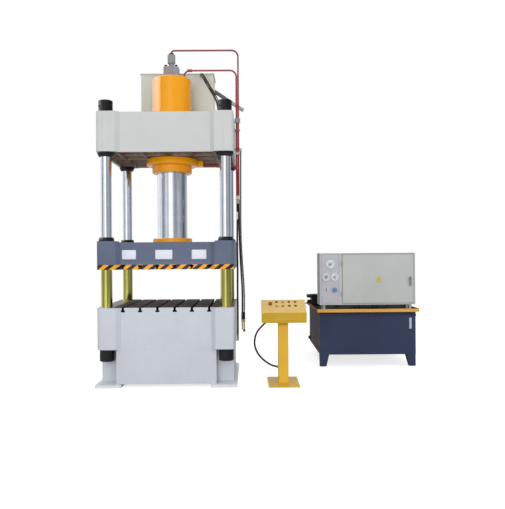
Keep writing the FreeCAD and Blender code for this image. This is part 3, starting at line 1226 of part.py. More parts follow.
def make_knobs():
    forward = Vec(0, -1, 0)
    knob_back = UNIT_FRONT - KNOB_STANDOFF
    body = bar((KNOB_X, knob_back, KNOB_Z), forward, KNOB_HEIGHT, KNOB_D)
    flutes = []
    for index in range(KNOB_LOBES):
        angle = 2 * math.pi * index / KNOB_LOBES
        x = KNOB_X + (KNOB_D / 2 + 7) * math.cos(angle)
        z = KNOB_Z + (KNOB_D / 2 + 7) * math.sin(angle)
        flutes.append(bar((x, knob_back + 1, z), forward, KNOB_HEIGHT + 2, 26))
    shaft = bar((KNOB_X, knob_back - 1, KNOB_Z), BACK, KNOB_STANDOFF + PANEL_HOLE_DEPTH,
                KNOB_SHAFT_D)
    export("pressure_knob", united([without(body, flutes), shaft]))

    face = UNIT_FRONT - 0.3
    base = bar((SELECTOR_X, face, SELECTOR_Z), forward, SELECTOR_BASE, SELECTOR_D)
    width, depth, height = SELECTOR_GRIP
    grip = box(SELECTOR_X - width / 2, SELECTOR_X + width / 2,
               face - SELECTOR_BASE - depth, face - SELECTOR_BASE + 1,
               SELECTOR_Z - height / 2, SELECTOR_Z + height / 2)
    shaft = bar((SELECTOR_X, face - 1, SELECTOR_Z), BACK, PANEL_HOLE_DEPTH, KNOB_SHAFT_D)
    export("selector_switch", united([base, grip, shaft]))


def make_motor():
    y, z = MOTOR_AXIS_Y, MOTOR_Z
    left = MOTOR_LEFT
    right = left + MOTOR_LENGTH
    cowl_end = right + COWL_LENGTH

    def along(x, length, diameter):
        return bar((x, y, z), RIGHT, length, diameter)

    outline = []
    step = 2 * math.pi / MOTOR_FINS
    for index in range(MOTOR_FINS):
        for share, radius in ((-0.3, MOTOR_D / 2), (-0.14, MOTOR_D / 2 + MOTOR_FIN),
                              (0.14, MOTOR_D / 2 + MOTOR_FIN), (0.3, MOTOR_D / 2)):
            angle = (index + share) * step
            outline.append((left + MOTOR_SHIELD, y + radius * math.cos(angle),
                            z + radius * math.sin(angle)))
    finned = extruded(outline, Vec(MOTOR_LENGTH - 2 * MOTOR_SHIELD, 0, 0))
    shields = [along(left, MOTOR_SHIELD + 1, MOTOR_D + 10),
               along(right - MOTOR_SHIELD - 1, MOTOR_SHIELD + 1, MOTOR_D + 10)]
    cowl = along(right, COWL_LENGTH, MOTOR_D + 20)
    cowl = cowl.cut(along(right - 1, COWL_LENGTH + 1 - COWL_WALL, MOTOR_D + 20 - 2 * COWL_WALL))
    slots = []
    for index in range(FAN_SLOTS):
        height = z + (index - (FAN_SLOTS - 1) / 2) * FAN_SLOT_PITCH
        slots.append(box(cowl_end - COWL_WALL - 1, cowl_end + 1, y - FAN_SLOT_LENGTH / 2,
                         y + FAN_SLOT_LENGTH / 2, height - FAN_SLOT_WIDTH / 2,
                         height + FAN_SLOT_WIDTH / 2))
    cowl = without(cowl, slots)
    cowl = united([cowl, ring_x(right - 1, 3, MOTOR_D + 20, MOTOR_D - 20)])
    feet = []
    for x in (left + MOTOR_FOOT_EDGE, right - MOTOR_FOOT_EDGE - MOTOR_FOOT_WIDTH):
        feet.append(box(x, x + MOTOR_FOOT_WIDTH, y - MOTOR_FOOT_SPREAD, y + MOTOR_FOOT_SPREAD,
                        LID_FLOOR, z - MOTOR_FOOT_TOP))
    start = left + TERMINAL_START
    terminal = box(start, start + TERMINAL_LENGTH, y - TERMINAL_WIDTH / 2, y + TERMINAL_WIDTH / 2,
                   z + MOTOR_BORE / 2 + MOTOR_FIN, z + MOTOR_D / 2 + TERMINAL_HEIGHT)
    housing = united([finned] + shields + [cowl] + feet + [terminal])
    cavity = along(left + MOTOR_SHIELD, MOTOR_LENGTH - 2 * MOTOR_SHIELD, MOTOR_BORE)
    shaft_bore = along(left - 1, MOTOR_LENGTH + 2, SHAFT_D + 2 * RUNNING_FIT)
    export("motor", without(housing, [cavity, shaft_bore]))

    bell_left = left - BELL_LENGTH
    fan_x = right + FAN_GAP
    blades = []
    for index in range(FAN_BLADES):
        blade = box(fan_x, fan_x + FAN_DEPTH, y - 2, y + 2, z + SHAFT_D / 2 - 2, z + FAN_D / 2)
        blade.rotate(Vec(fan_x, y, z), RIGHT, 360.0 * index / FAN_BLADES)
        blades.append(blade)
    shaft_start = left - SHAFT_REACH
    rotor_start = left + MOTOR_SHIELD * 1.4
    rotor_length = MOTOR_LENGTH - MOTOR_SHIELD * 2.8
    rotor = [along(shaft_start, SHAFT_REACH + MOTOR_LENGTH + FAN_GAP + FAN_DEPTH, SHAFT_D),
             along(rotor_start, rotor_length, ROTOR_D),
             along(shaft_start, COUPLING_LENGTH, COUPLING_D), along(fan_x, FAN_DISC, FAN_D)]
    export("motor_rotor", united(rotor + blades))

    bell = along(bell_left, BELL_LENGTH, BELL_D)
    bell = bell.cut(along(bell_left + BELL_WALL, BELL_LENGTH, BELL_D - 2 * BELL_WALL))
    window = box(bell_left + BELL_WINDOW_EDGE, left - BELL_WINDOW_EDGE, y - BELL_WINDOW,
                 y + BELL_WINDOW, z, z + BELL_D)
    bell = bell.cut(window)
    pump = [bell, along(bell_left - PUMP_LENGTH, PUMP_LENGTH, PUMP_D),
            along(bell_left - PUMP_FLANGE, PUMP_FLANGE + 1, PUMP_FLANGE_D),
            along(bell_left - PUMP_LENGTH - PUMP_FLANGE, PUMP_FLANGE + 1, PUMP_END_D)]
    suction_x = bell_left - PUMP_LENGTH / 2
    pump.append(rod(suction_x, y, LID_FLOOR, z - PUMP_D / 4, SUCTION_D))
    pump.append(bar((suction_x, y, z), BACK, PUMP_D / 2 + PUMP_PORT, PUMP_PORT_D))
    export("pump", united(pump))
    return suction_x


def ring_x(x, length, outer, inner):
    y, z = MOTOR_AXIS_Y, MOTOR_Z
    disc = bar((x, y, z), RIGHT, length, outer)
    return disc.cut(bar((x - 1, y, z), RIGHT, length + 2, inner))


def make_manifold(pump_port_x):
    length, depth, height = MANIFOLD
    x0, y0, z0 = MANIFOLD_X, MANIFOLD_Y, LID_FLOOR
    z1 = z0 + height
    middle = y0 + depth / 2
    block = [box(x0, x0 + length, y0, y0 + depth, z0, z1)]
    valve_x, valve_y, valve_z = VALVE_SIZE
    left = Vec(-1, 0, 0)
    edge = (length - valve_x) / 2
    step = (depth - VALVE_COUNT * valve_y) / (VALVE_COUNT + 1) + valve_y
    for index in range(VALVE_COUNT):
        y = y0 + (index + 1) * step - valve_y
        block.append(box(x0 + edge, x0 + edge + valve_x, y, y + valve_y, z1 - 1, z1 + valve_z))
        centre = Vec(x0 + edge, y + valve_y / 2, z1 + valve_z / 2)
        block.append(bar(tuple(centre), left, SOLENOID_LENGTH, SOLENOID_D))
        centre.x += valve_x
        block.append(bar(tuple(centre), RIGHT, SOLENOID_LENGTH, SOLENOID_D))
    port = (pump_port_x, MOTOR_AXIS_Y + PUMP_D / 2 + PUMP_PORT, MOTOR_Z)
    inlet = z0 + MANIFOLD_INLET
    line, _, _ = pipe_with_bends([port, (pump_port_x, middle, MOTOR_Z),
                                  (pump_port_x, middle, inlet),
                                  (x0 + length - 1, middle, inlet)], PIPE_D)
    block.append(line)
    relief = Vec(x0 + 1, y0 + RELIEF_D, z0 + RELIEF_Z)
    block.append(bar(tuple(relief), left, RELIEF_LENGTH, RELIEF_D))
    lever = Vec(*LEVER_RUN)
    relief.x -= RELIEF_LENGTH / 2
    block.append(bar(tuple(relief), lever, lever.Length, LEVER_D))
    export("valve_manifold", united(block))

    neck = 40.0
    cap_h = 60.0
    low = LID_FLOOR
    radius = BREATHER_D / 2
    breather = turned([(0, low), (radius - 4, low), (radius - 4, low + 8), (radius - 16, low + 8),
                       (radius - 16, low + neck), (radius, low + neck), (radius, low + neck + cap_h - 8),
                       (radius - 8, low + neck + cap_h), (0, low + neck + cap_h)],
                      BREATHER_X, BREATHER_Y)
    export("breather_cap", breather)


os.makedirs("parts", exist_ok=True)
make_bed()
make_stand()
make_columns()
make_nuts()
make_crosshead()
screws_of_gland = make_cylinder()
make_ram()
make_slider()
make_prefill_valve(screws_of_gland)
make_top_tank()
make_pipes()
make_hoses()
make_pedestal()
make_oil_tank()
make_cabinet()
make_door()
make_gauges()
make_knobs()
pump_port = make_motor()
make_manifold(pump_port)
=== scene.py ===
import json
import math
import random

import bmesh
import bpy
from mathutils import Matrix, Vector

# Looks of the hydraulic press, its control pedestal and its power unit.
# Metres, in the frame of the CAD model: +X right, +Y away from the operator, +Z up.
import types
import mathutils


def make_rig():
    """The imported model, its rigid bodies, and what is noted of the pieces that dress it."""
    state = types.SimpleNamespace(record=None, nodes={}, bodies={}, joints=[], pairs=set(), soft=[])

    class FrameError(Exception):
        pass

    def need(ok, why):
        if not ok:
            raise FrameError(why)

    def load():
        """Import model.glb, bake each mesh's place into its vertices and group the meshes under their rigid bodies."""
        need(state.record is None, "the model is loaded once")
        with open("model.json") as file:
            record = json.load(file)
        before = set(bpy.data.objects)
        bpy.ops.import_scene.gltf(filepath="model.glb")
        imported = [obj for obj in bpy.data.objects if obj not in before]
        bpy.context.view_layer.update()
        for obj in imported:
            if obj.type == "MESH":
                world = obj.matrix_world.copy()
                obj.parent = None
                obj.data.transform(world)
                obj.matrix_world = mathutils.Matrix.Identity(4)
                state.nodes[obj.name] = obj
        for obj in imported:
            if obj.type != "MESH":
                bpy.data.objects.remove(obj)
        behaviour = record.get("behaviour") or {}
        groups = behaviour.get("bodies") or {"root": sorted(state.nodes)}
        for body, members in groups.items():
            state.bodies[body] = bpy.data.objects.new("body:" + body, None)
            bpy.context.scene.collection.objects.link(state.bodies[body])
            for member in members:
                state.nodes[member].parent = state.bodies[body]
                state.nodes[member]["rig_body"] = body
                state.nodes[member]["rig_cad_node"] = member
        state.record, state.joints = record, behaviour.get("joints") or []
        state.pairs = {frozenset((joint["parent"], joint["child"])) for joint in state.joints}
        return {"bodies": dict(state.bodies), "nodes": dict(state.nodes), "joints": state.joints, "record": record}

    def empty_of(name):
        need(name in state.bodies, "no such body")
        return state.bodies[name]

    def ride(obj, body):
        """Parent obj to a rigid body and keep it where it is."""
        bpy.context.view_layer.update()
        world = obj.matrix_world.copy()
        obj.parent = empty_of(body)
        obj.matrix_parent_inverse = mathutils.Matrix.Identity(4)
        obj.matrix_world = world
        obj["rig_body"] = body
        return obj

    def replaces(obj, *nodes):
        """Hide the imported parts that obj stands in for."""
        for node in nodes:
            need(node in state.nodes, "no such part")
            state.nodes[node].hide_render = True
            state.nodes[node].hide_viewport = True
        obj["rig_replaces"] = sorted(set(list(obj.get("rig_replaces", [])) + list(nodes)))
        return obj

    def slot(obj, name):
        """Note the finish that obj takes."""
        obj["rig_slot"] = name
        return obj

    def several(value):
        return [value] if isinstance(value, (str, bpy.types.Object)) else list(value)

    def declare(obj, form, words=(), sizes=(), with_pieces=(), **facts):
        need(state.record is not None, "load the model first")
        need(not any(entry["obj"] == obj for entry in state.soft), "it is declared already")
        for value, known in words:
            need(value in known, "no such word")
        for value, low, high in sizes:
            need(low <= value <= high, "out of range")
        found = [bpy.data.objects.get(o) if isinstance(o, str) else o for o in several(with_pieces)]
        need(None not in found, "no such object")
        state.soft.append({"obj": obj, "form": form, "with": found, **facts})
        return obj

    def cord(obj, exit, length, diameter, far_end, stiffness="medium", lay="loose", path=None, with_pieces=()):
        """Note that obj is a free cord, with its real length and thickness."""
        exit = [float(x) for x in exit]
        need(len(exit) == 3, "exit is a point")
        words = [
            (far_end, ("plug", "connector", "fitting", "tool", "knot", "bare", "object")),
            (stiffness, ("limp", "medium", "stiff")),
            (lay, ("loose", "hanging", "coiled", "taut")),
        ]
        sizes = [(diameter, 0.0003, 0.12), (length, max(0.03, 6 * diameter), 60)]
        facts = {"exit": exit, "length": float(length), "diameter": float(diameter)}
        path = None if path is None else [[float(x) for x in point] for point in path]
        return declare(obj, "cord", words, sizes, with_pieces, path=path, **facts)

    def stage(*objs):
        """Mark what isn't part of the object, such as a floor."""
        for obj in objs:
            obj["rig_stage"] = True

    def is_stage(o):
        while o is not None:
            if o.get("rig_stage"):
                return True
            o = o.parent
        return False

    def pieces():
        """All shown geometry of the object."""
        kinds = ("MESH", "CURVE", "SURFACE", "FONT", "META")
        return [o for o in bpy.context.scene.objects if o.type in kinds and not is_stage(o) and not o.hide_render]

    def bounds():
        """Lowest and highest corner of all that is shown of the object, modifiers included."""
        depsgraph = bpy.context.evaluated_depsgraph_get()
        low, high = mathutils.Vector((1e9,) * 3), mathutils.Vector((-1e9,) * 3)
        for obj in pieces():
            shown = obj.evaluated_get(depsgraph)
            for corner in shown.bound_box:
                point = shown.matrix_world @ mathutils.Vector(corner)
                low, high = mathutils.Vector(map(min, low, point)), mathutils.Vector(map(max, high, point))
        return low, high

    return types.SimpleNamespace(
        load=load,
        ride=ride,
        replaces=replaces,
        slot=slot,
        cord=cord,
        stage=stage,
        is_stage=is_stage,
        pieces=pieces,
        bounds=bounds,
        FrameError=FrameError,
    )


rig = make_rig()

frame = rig.load()
cad_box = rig.bounds()
NODES = frame["nodes"]
PRESS = "press"
SLIDER = "slider"
TAU = 2 * math.pi


# ============================================================ node helpers
def linear(code):
    """Linear RGBA from an sRGB hex code."""
    values = [int(code[i:i + 2], 16) / 255 for i in (1, 3, 5)]
    out = [v / 12.92 if v <= 0.04045 else ((v + 0.055) / 1.055) ** 2.4 for v in values]
    return (*out, 1.0)


class Nodes:
    """Short ways to add nodes to a tree and to link them."""

    def __init__(self, tree, coordinates):
        self.tree = tree
        self.coord = self.add("ShaderNodeTexCoord").outputs[coordinates]

    def add(self, kind, inputs=None, **settings):
        made = self.tree.nodes.new(kind)
        for key, value in settings.items():
            setattr(made, key, value)
        for key, value in (inputs or {}).items():
            self.put(made.inputs[key], value)
        return made

    def put(self, socket, value):
        if isinstance(value, bpy.types.NodeSocket):
            self.tree.links.new(value, socket)
        else:
            socket.default_value = linear(value) if isinstance(value, str) else value

    def math(self, operation, *values):
        return self.add("ShaderNodeMath", dict(enumerate(values)), operation=operation).outputs[0]

    def times(self, first, second):
        return self.math("MULTIPLY", first, second)

    def below(self, value, limit):
        return self.math("LESS_THAN", value, limit)

    def above(self, value, limit):
        return self.math("GREATER_THAN", value, limit)

    def ramp(self, value, low, high, to_low=0.0, to_high=1.0):
        return self.add("ShaderNodeMapRange", {"Value": value, "From Min": low, "From Max": high,
                                               "To Min": to_low, "To Max": to_high}).outputs[0]

    def stops(self, value, pairs, tint):
        """Colour ramp through (position, brightness) pairs; tint makes a colour of brightness."""
        made = self.add("ShaderNodeValToRGB", {0: value})
        elements = made.color_ramp.elements
        while len(elements) < len(pairs):
            elements.new(0.5)
        for element, (position, _) in zip(elements, pairs):
            element.position = position
        for element, (_, brightness) in zip(elements, pairs):
            element.color = tint(brightness)
        return made.outputs[0]

    def mix(self, factor, first, second):
        made = self.add("ShaderNodeMix", {0: factor, 6: first, 7: second}, data_type="RGBA")
        return made.outputs[2]

    def axis(self, name, vector=None):
        return self.add("ShaderNodeSeparateXYZ", {"Vector": vector or self.coord}).outputs[name]

    def apart(self, name, middle=0.0):
        """Distance from a level along an axis."""
        return self.math("ABSOLUTE", self.math("SUBTRACT", self.axis(name), middle))


class Shader(Nodes):
    """A material under construction."""

    def __init__(self, name):
        self.material = bpy.data.materials.new(name)
        self.material.use_nodes = True
        super().__init__(self.material.node_tree, "Object")
        self.bsdf = self.tree.nodes["Principled BSDF"]
        self.normal = self.add("ShaderNodeNewGeometry").outputs["Normal"]

    def set(self, **values):
        """Fill the shader's inputs; returns the finished material."""
        names = {"color": "Base Color", "rough": "Roughness", "metal": "Metallic",
                 "coat": "Coat Weight", "coat_rough": "Coat Roughness", "normal": "Normal",
                 "ior": "IOR", "clear": "Transmission Weight", "glow": "Emission Color",
                 "glow_power": "Emission Strength", "specular": "Specular IOR Level"}
        for key, value in values.items():
            self.put(self.bsdf.inputs[names[key]], value)
        return self.material

    def noise(self, scale, detail=4.0, rough=0.55, vector=None, distort=0.0):
        return self.add("ShaderNodeTexNoise", {"Vector": vector or self.coord, "Scale": scale,
                                               "Detail": detail, "Roughness": rough,
                                               "Distortion": distort}).outputs[0]

    def clouds(self, first, second, grain, low, high, **more):
        """Two colours in clouds; grain is the noise's scale, detail and roughness."""
        return self.mix(self.ramp(self.noise(*grain, **more), low, high), first, second)

    def stretched(self, x, y, z):
        return self.add("ShaderNodeMapping", {"Vector": self.coord, "Scale": (x, y, z)}).outputs[0]

    def facing(self, name):
        """How far the surface looks along an axis, -1 to 1."""
        return self.axis(name, self.normal)

    def between(self, x=None, y=None, z=None):
        """1 inside a box given by (low, high) pairs along the axes, 0 outside."""
        mask = 1.0
        for name, limits in (("X", x), ("Y", y), ("Z", z)):
            if limits:
                off = self.apart(name, (limits[0] + limits[1]) / 2)
                mask = self.times(mask, self.below(off, (limits[1] - limits[0]) / 2))
        return mask

    def seam(self, x, z, width):
        """Soft line along the rectangle of the (low, high) pairs x and z."""
        distances = [self.math("SUBTRACT", self.apart(name, (low + high) / 2), (high - low) / 2)
                     for name, (low, high) in (("X", x), ("Z", z))]
        outline = self.math("ABSOLUTE", self.math("MAXIMUM", *distances))
        return self.ramp(outline, width, width * 0.3)

    def soft_edges(self, radius):
        return self.add("ShaderNodeBevel", {"Radius": radius}, samples=4).outputs[0]

    def edge_mask(self, bevel):
        dot = self.add("ShaderNodeVectorMath", {0: bevel, 1: self.normal},
                       operation="DOT_PRODUCT").outputs["Value"]
        return self.ramp(dot, 0.985, 0.86)

    def bump(self, height, distance, strength=1.0, normal=None):
        inputs = {"Height": height, "Distance": distance, "Strength": strength}
        if normal is not None:
            inputs["Normal"] = normal
        return self.add("ShaderNodeBump", inputs).outputs[0]


# ============================================================ materials
def painted(name, colour, shade, rough=0.38, coat=0.25, grime="#6B6455", grime_amount=0.10,
            wear="#8E8F8C", wear_amount=0.35, edge=0.004, over=None, peel=0.00035, gleam=0.5,
            coat_rough=0.16, ior=1.5):
    """Sprayed machine enamel: cloudy tone, thin grime, rubbed edges and orange peel."""
    s = Shader(name)
    tone = s.clouds(colour, shade, (1.3, 5, 0.6), 0.32, 0.68)
    if over:
        tone = over(s, tone)
    film = s.ramp(s.noise(6.0, 8, 0.7, distort=0.4), 0.50, 0.78, 0.0, grime_amount)
    tone = s.mix(film, tone, grime)
    bevel = s.soft_edges(edge)
    rubbed = s.times(s.edge_mask(bevel), s.ramp(s.noise(23, 5, 0.7), 0.5, 0.66))
    return s.set(color=s.mix(s.times(rubbed, wear_amount), tone, wear), coat=coat,
                 coat_rough=coat_rough, specular=gleam, ior=ior,
                 rough=s.ramp(s.noise(11, 4, 0.6), 0.3, 0.7, rough - 0.06, rough + 0.09),
                 normal=s.bump(s.noise(190, 2, 0.5), peel, 0.5, bevel))


def hazard_band(s, colour):
    """Orange and black stripes along the lower edge of the sliding beam, front and rear."""
    low = s.below(s.axis("Z"), STRIPE_TOP)
    upright = s.above(s.math("ABSOLUTE", s.facing("Y")), 0.4)
    outside = s.above(s.apart("Y"), 0.6)
    run = s.math("SUBTRACT", s.axis("X"), s.times(s.axis("Z"), STRIPE_SLOPE))
    phase = s.math("FRACT", s.math("DIVIDE", s.math("ADD", run, STRIPE_SHIFT), STRIPE_PITCH))
    scuffed = s.times(s.ramp(phase, 0.49, 0.51), s.ramp(s.noise(34, 6, 0.7), 0.30, 0.40))
    return s.mix(s.times(s.times(low, upright), outside), colour,
                 s.mix(scuffed, "#1F2024", "#EFA22C"))


def under_rust_and_shade(s, colour):
    """Downward faces inside the open upper beam: primer with rusty bloom; the ribs' lower edges are painted dark as
    painted shade.
    """
    half_x, half_y, top = 0.764, 0.6215, 3.14
    inside = s.times(s.below(s.apart("X"), half_x), s.below(s.apart("Y"), half_y))
    hidden = s.times(inside, s.below(s.axis("Z"), top))
    bloom = s.clouds("#A99D8B", "#8C6048", (3.2, 8, 0.7), 0.4, 0.62)
    tone = s.mix(s.ramp(s.facing("Z"), -0.3, -0.6), bloom, "#84705F")
    # Painted shade: below RIB_BOTTOM the ribs' lower edges are darkened.
    tone = s.mix(s.below(s.axis("Z"), RIB_BOTTOM), tone, "#40392F")
    return s.mix(hidden, colour, tone)


def metal(name, colour, dark, rough=0.3, lines=(1, 1, 60), depth=0.00012, over=None, spots=0.15,
          edge=0.0015):
    """Machined or plated metal with tool marks along one direction."""
    s = Shader(name)
    tone = s.clouds(colour, dark, (5, 6, 0.65), 0.35, 0.7)
    if over:
        tone = over(s, tone)
    stain = s.ramp(s.noise(26, 7, 0.7), 0.58, 0.75, 0.0, spots)
    grain = s.noise(14, 3, 0.6, vector=s.stretched(*lines))
    return s.set(color=s.mix(stain, tone, dark), metal=1.0,
                 rough=s.ramp(grain, 0.3, 0.7, rough - 0.05, rough + 0.08),
                 normal=s.bump(grain, depth, 0.6, s.soft_edges(edge)))


def lid_inside(s, colour):
    """The lid inside its rim is painted near black as painted shade; the rim's left side is painted darker brown in
    patches, also painted shade.
    """
    pan = s.between(x=(1.8865, 3.2615), y=(0.5085, 1.9835), z=(0.7395, 0.790))
    # Painted shade: the pan inside the rim, under the cabinet, is near black.
    pan_shade = s.clouds("#141414", "#221D1A", (4, 6, 0.7), 0.35, 0.65)
    side = s.times(s.between(x=(1.80, 1.8866)), s.ramp(s.noise(5, 6, 0.7), 0.3, 0.5, 0.5, 1.0))
    return s.mix(pan, s.mix(side, colour, "#7A4C3E"), pan_shade)


def overflow_tone(s, colour):
    """The overflow tube is bare grey, darker near the tank."""
    tube = s.above(s.axis("X"), 0.5235)
    grey = s.mix(s.ramp(s.axis("X"), 0.66, 0.76), "#5E5B5A", "#A5A29E")
    return s.mix(tube, colour, grey)


def valve_tone(s, colour):
    """The valve's cap is black; its right side is tinted bluish, a painted reflection."""
    # Painted reflection: the right side turns bluish.
    right = s.ramp(s.axis("X"), 0.02, 0.075)
    tone = s.mix(s.times(right, 0.6), colour, "#9AA2B2")
    return s.mix(s.ramp(s.axis("Z"), 4.058, 4.064), tone, "#2E292B")


def oiled_top_and_lit_rails(s, colour):
    """The lower beam's top round the table keeps the same oily film as the table."""
    # Painted light: the foot rails at the floor are painted lighter.
    rails = s.below(s.axis("Z"), 0.0362)
    colour = s.mix(rails, colour, "#D9DCE2")
    up = s.ramp(s.facing("Z"), 0.6, 0.9)
    level = s.between(y=(-0.60, 0.66), z=(0.80, 1.02))
    film = s.clouds("#564C48", "#3C332F", (2.6, 8, 0.68), 0.34, 0.66)
    return s.mix(s.times(up, level), colour, film)


def console_tone(s, colour):
    """The console's sloping panel is painted lighter, towards cream, as painted light from above; its low front is
    painted deeper in tone with streaks, as painted shade.
    """
    console = s.between(z=(0.690, 1.05))
    # Painted light on the upward faces, painted shade on the low front.
    painted_light_top = s.times(console, s.ramp(s.facing("Z"), 0.5, 0.8))
    front = s.times(console, s.ramp(s.facing("Y"), -0.7, -0.95))
    streaky_shade = s.clouds("#C69F2C", "#B8921F", (3, 4, 0.6), 0.35, 0.65,
                      vector=s.stretched(0.5, 1, 14))
    return s.mix(painted_light_top, s.mix(front, colour, streaky_shade), "#DFBB70")


def tank_side(s, colour):
    """The tank's left side is brown with stains of oil and dust."""
    side = s.ramp(s.facing("X"), -0.5, -0.8)
    stain = s.clouds("#594E4A", "#40414A", (2.4, 8, 0.68), 0.36, 0.66, distort=0.5)
    front = s.ramp(s.facing("Y"), -0.7, -0.95)
    # Painted shade: a dark band under the rim along the front's top, rusty brown towards its left end.
    under_rim_band = s.times(s.ramp(s.axis("Z"), 0.655, 0.735), front)
    rim_shade_and_rust = s.mix(s.ramp(s.axis("X"), 1.96, 2.12), "#47302F", "#2C2F40")
    colour = s.mix(s.times(under_rim_band, 0.75), colour, rim_shade_and_rust)
    return s.mix(s.times(side, 0.9), colour, stain)


def cabinet_seams(s, colour):
    """Painted shade along the folded seams round the door and the instrument strip and over the cabinet's left side;
    the strip's face is a bluer grey.
    """
    front = s.between(y=(0.40, 0.560))
    door = s.seam((2.231, 3.206), (0.856, 1.526), 0.0085)
    strip = s.seam((1.952, 2.184), (0.862, 1.524), 0.0065)
    # Painted shade: dark lines in the seams, stronger round the door.
    line = s.math("MAXIMUM", s.times(door, 0.55), s.times(strip, 0.35))
    tinted = s.mix(s.between(x=(1.90, 2.204), y=(0.40, 0.548)), colour, "#B9B9C0")
    # Painted shade: the left side is darker.
    left = s.ramp(s.facing("X"), -0.5, -0.8)
    return s.mix(s.times(line, front), s.mix(left, tinted, "#686A64"), "#73766F")


def column_tone(s, colour):
    """The columns' lower ends are tinted golden."""
    low = s.ramp(s.axis("Z"), 1.56, 1.50)
    tint = s.clouds("#DCD57B", "#B4AD5C", (2.2, 5, 0.6), 0.3, 0.7,
                    vector=s.stretched(3, 3, 0.6))
    return s.mix(low, colour, tint)


def machined_table():
    """Planed table top: brown-grey film over fine parallel tool marks, brighter scratches."""
    s = Shader("table_planed_steel")
    film = s.clouds("#5A504B", "#403732", (2.6, 8, 0.68), 0.34, 0.66)
    film = s.mix(s.ramp(s.noise(9, 8, 0.75, distort=1.2), 0.56, 0.70, 0, 0.5), film, "#5C4031")
    scratch = s.ramp(s.noise(8, 2, 0.5, vector=s.stretched(30, 0.8, 1)), 0.66, 0.71, 0, 0.4)
    film = s.mix(scratch, film, "#A79C94")
    front = s.ramp(s.math("ABSOLUTE", s.facing("Y")), 0.6, 0.8)
    outer = s.above(s.apart("Y"), PLATE_FRONT)
    film = s.mix(s.times(front, outer), film, BED)
    # Painted shade: the insides of the T-slots are darkened.
    slot_shade = s.times(s.ramp(s.axis("Z"), 0.919, 0.905, 0.0, 0.82), s.math("SUBTRACT", 1.0, outer))
    lines = s.noise(12, 3, 0.6, vector=s.stretched(46, 0.5, 1))
    return s.set(color=s.mix(slot_shade, film, "#1C1816"), metal=0.1, specular=0.12, ior=1.15,
                 rough=s.ramp(lines, 0.3, 0.7, 0.5, 0.66),
                 normal=s.bump(lines, 0.0002, 0.6, s.soft_edges(0.002)))


def slider_face():
    """The sliding beam's slotted plate: painted with the stripes in front, planed below."""
    s = Shader("slider_plate_finish")
    bare = s.clouds("#75695F", "#544842", (3, 8, 0.68), 0.34, 0.66)
    cover = hazard_band(s, s.clouds(SLATE, SLATE_DARK, (1.3, 5), 0.3, 0.7))
    lines = s.noise(12, 3, 0.6, vector=s.stretched(46, 0.5, 1))
    return s.set(color=s.mix(s.above(s.apart("Y"), PLATE_FRONT), bare, cover), rough=0.42,
                 normal=s.bump(lines, 0.00015, 0.5, s.soft_edges(0.002)))


def rubber(name, colour="#1B1B1D", weave=900.0, rough=0.55):
    """Hose cover with the print of its cloth wrap and a little dust."""
    s = Shader(name)
    wrap = s.add("ShaderNodeTexWave", {"Vector": s.coord, "Scale": weave / 6, "Distortion": 0.4},
                 bands_direction="Z").outputs["Fac"]
    dust = s.ramp(s.noise(30, 6, 0.7), 0.48, 0.75, 0.0, 0.35)
    return s.set(color=s.mix(dust, colour, "#5A5853"), specular=0.35,
                 rough=s.ramp(s.noise(60, 3), 0.3, 0.7, rough - 0.1, rough + 0.1),
                 normal=s.bump(wrap, 0.0003, 0.5))


def plastic(name, colour, dark, rough=0.5, coat=0.0, over=None):
    """Moulded plastic with a fine texture."""
    s = Shader(name)
    tone = s.clouds(colour, dark, (20, 4, 0.6), 0.35, 0.7)
    if over:
        tone = over(s, tone)
    return s.set(color=tone, coat=coat, coat_rough=0.1,
                 rough=s.ramp(s.noise(70, 3), 0.3, 0.7, rough - 0.05, rough + 0.08),
                 normal=s.bump(s.noise(240, 2), 0.0001, 0.4, s.soft_edges(0.0006)))


def glass(name):
    """Clear glass with smears of varying roughness."""
    s = Shader(name)
    return s.set(color="#F2F6F4", clear=1.0, ior=1.45,
                 rough=s.ramp(s.noise(18, 5, 0.6), 0.45, 0.8, 0.03, 0.15))


def weld_metal(name, colour, dark):
    """Painted weld bead: the paint over ripples, darker in the valleys."""
    s = Shader(name)
    return s.set(color=s.clouds(colour, dark, (60, 5, 0.7), 0.4, 0.7), rough=0.42, coat=0.15,
                 normal=s.bump(s.noise(150, 3, 0.6), 0.0006, 0.7))


def dial_tone(s, colour):
    """White scale round a greyer middle on each of the three dials."""
    for x, z, radius in ((2.067, 1.393, 0.031), (2.011, 1.217, 0.027), (2.127, 1.217, 0.027)):
        dx = s.math("SUBTRACT", s.axis("X"), x)
        dz = s.math("SUBTRACT", s.axis("Z"), z)
        reach = s.math("SQRT", s.math("ADD", s.times(dx, dx), s.times(dz, dz)))
        colour = s.mix(s.ramp(reach, radius, radius * 0.7), colour, "#A9ADB8")
    return colour


def pipe_tone(s, colour):
    """The pipes above the upper beam have dulled to a brownish red."""
    return s.mix(s.ramp(s.axis("Z"), 3.70, 3.95, 0.0, 0.85), colour, "#7A3A44")


def hose_end_tone(s, colour):
    """Ferrule black, nut zinc, stem beige and cap red, from top to bottom; all is covered."""
    z = s.axis("Z")
    tone = s.mix(s.below(z, 0.710), "#1A1A1C", "#B9B08E")
    tone = s.mix(s.below(z, 0.676), tone, "#B8A888")
    return s.mix(s.below(z, 0.580), tone, "#B0474C")


# Hazard stripes: upper edge, pitch along X, lean and where the first one starts.
STRIPE_TOP = 1.421
STRIPE_PITCH = 0.127
STRIPE_SLOPE = 1.25
STRIPE_SHIFT = 8.008
# Just inside the front and rear faces of the table plate and of the slotted plate.
PLATE_FRONT = 0.649
# Lower edges of the ribs in the upper beam.
RIB_BOTTOM = 2.735
BED = "#C6CBD4"
SLATE = "#616A80"
SLATE_DARK = "#596276"

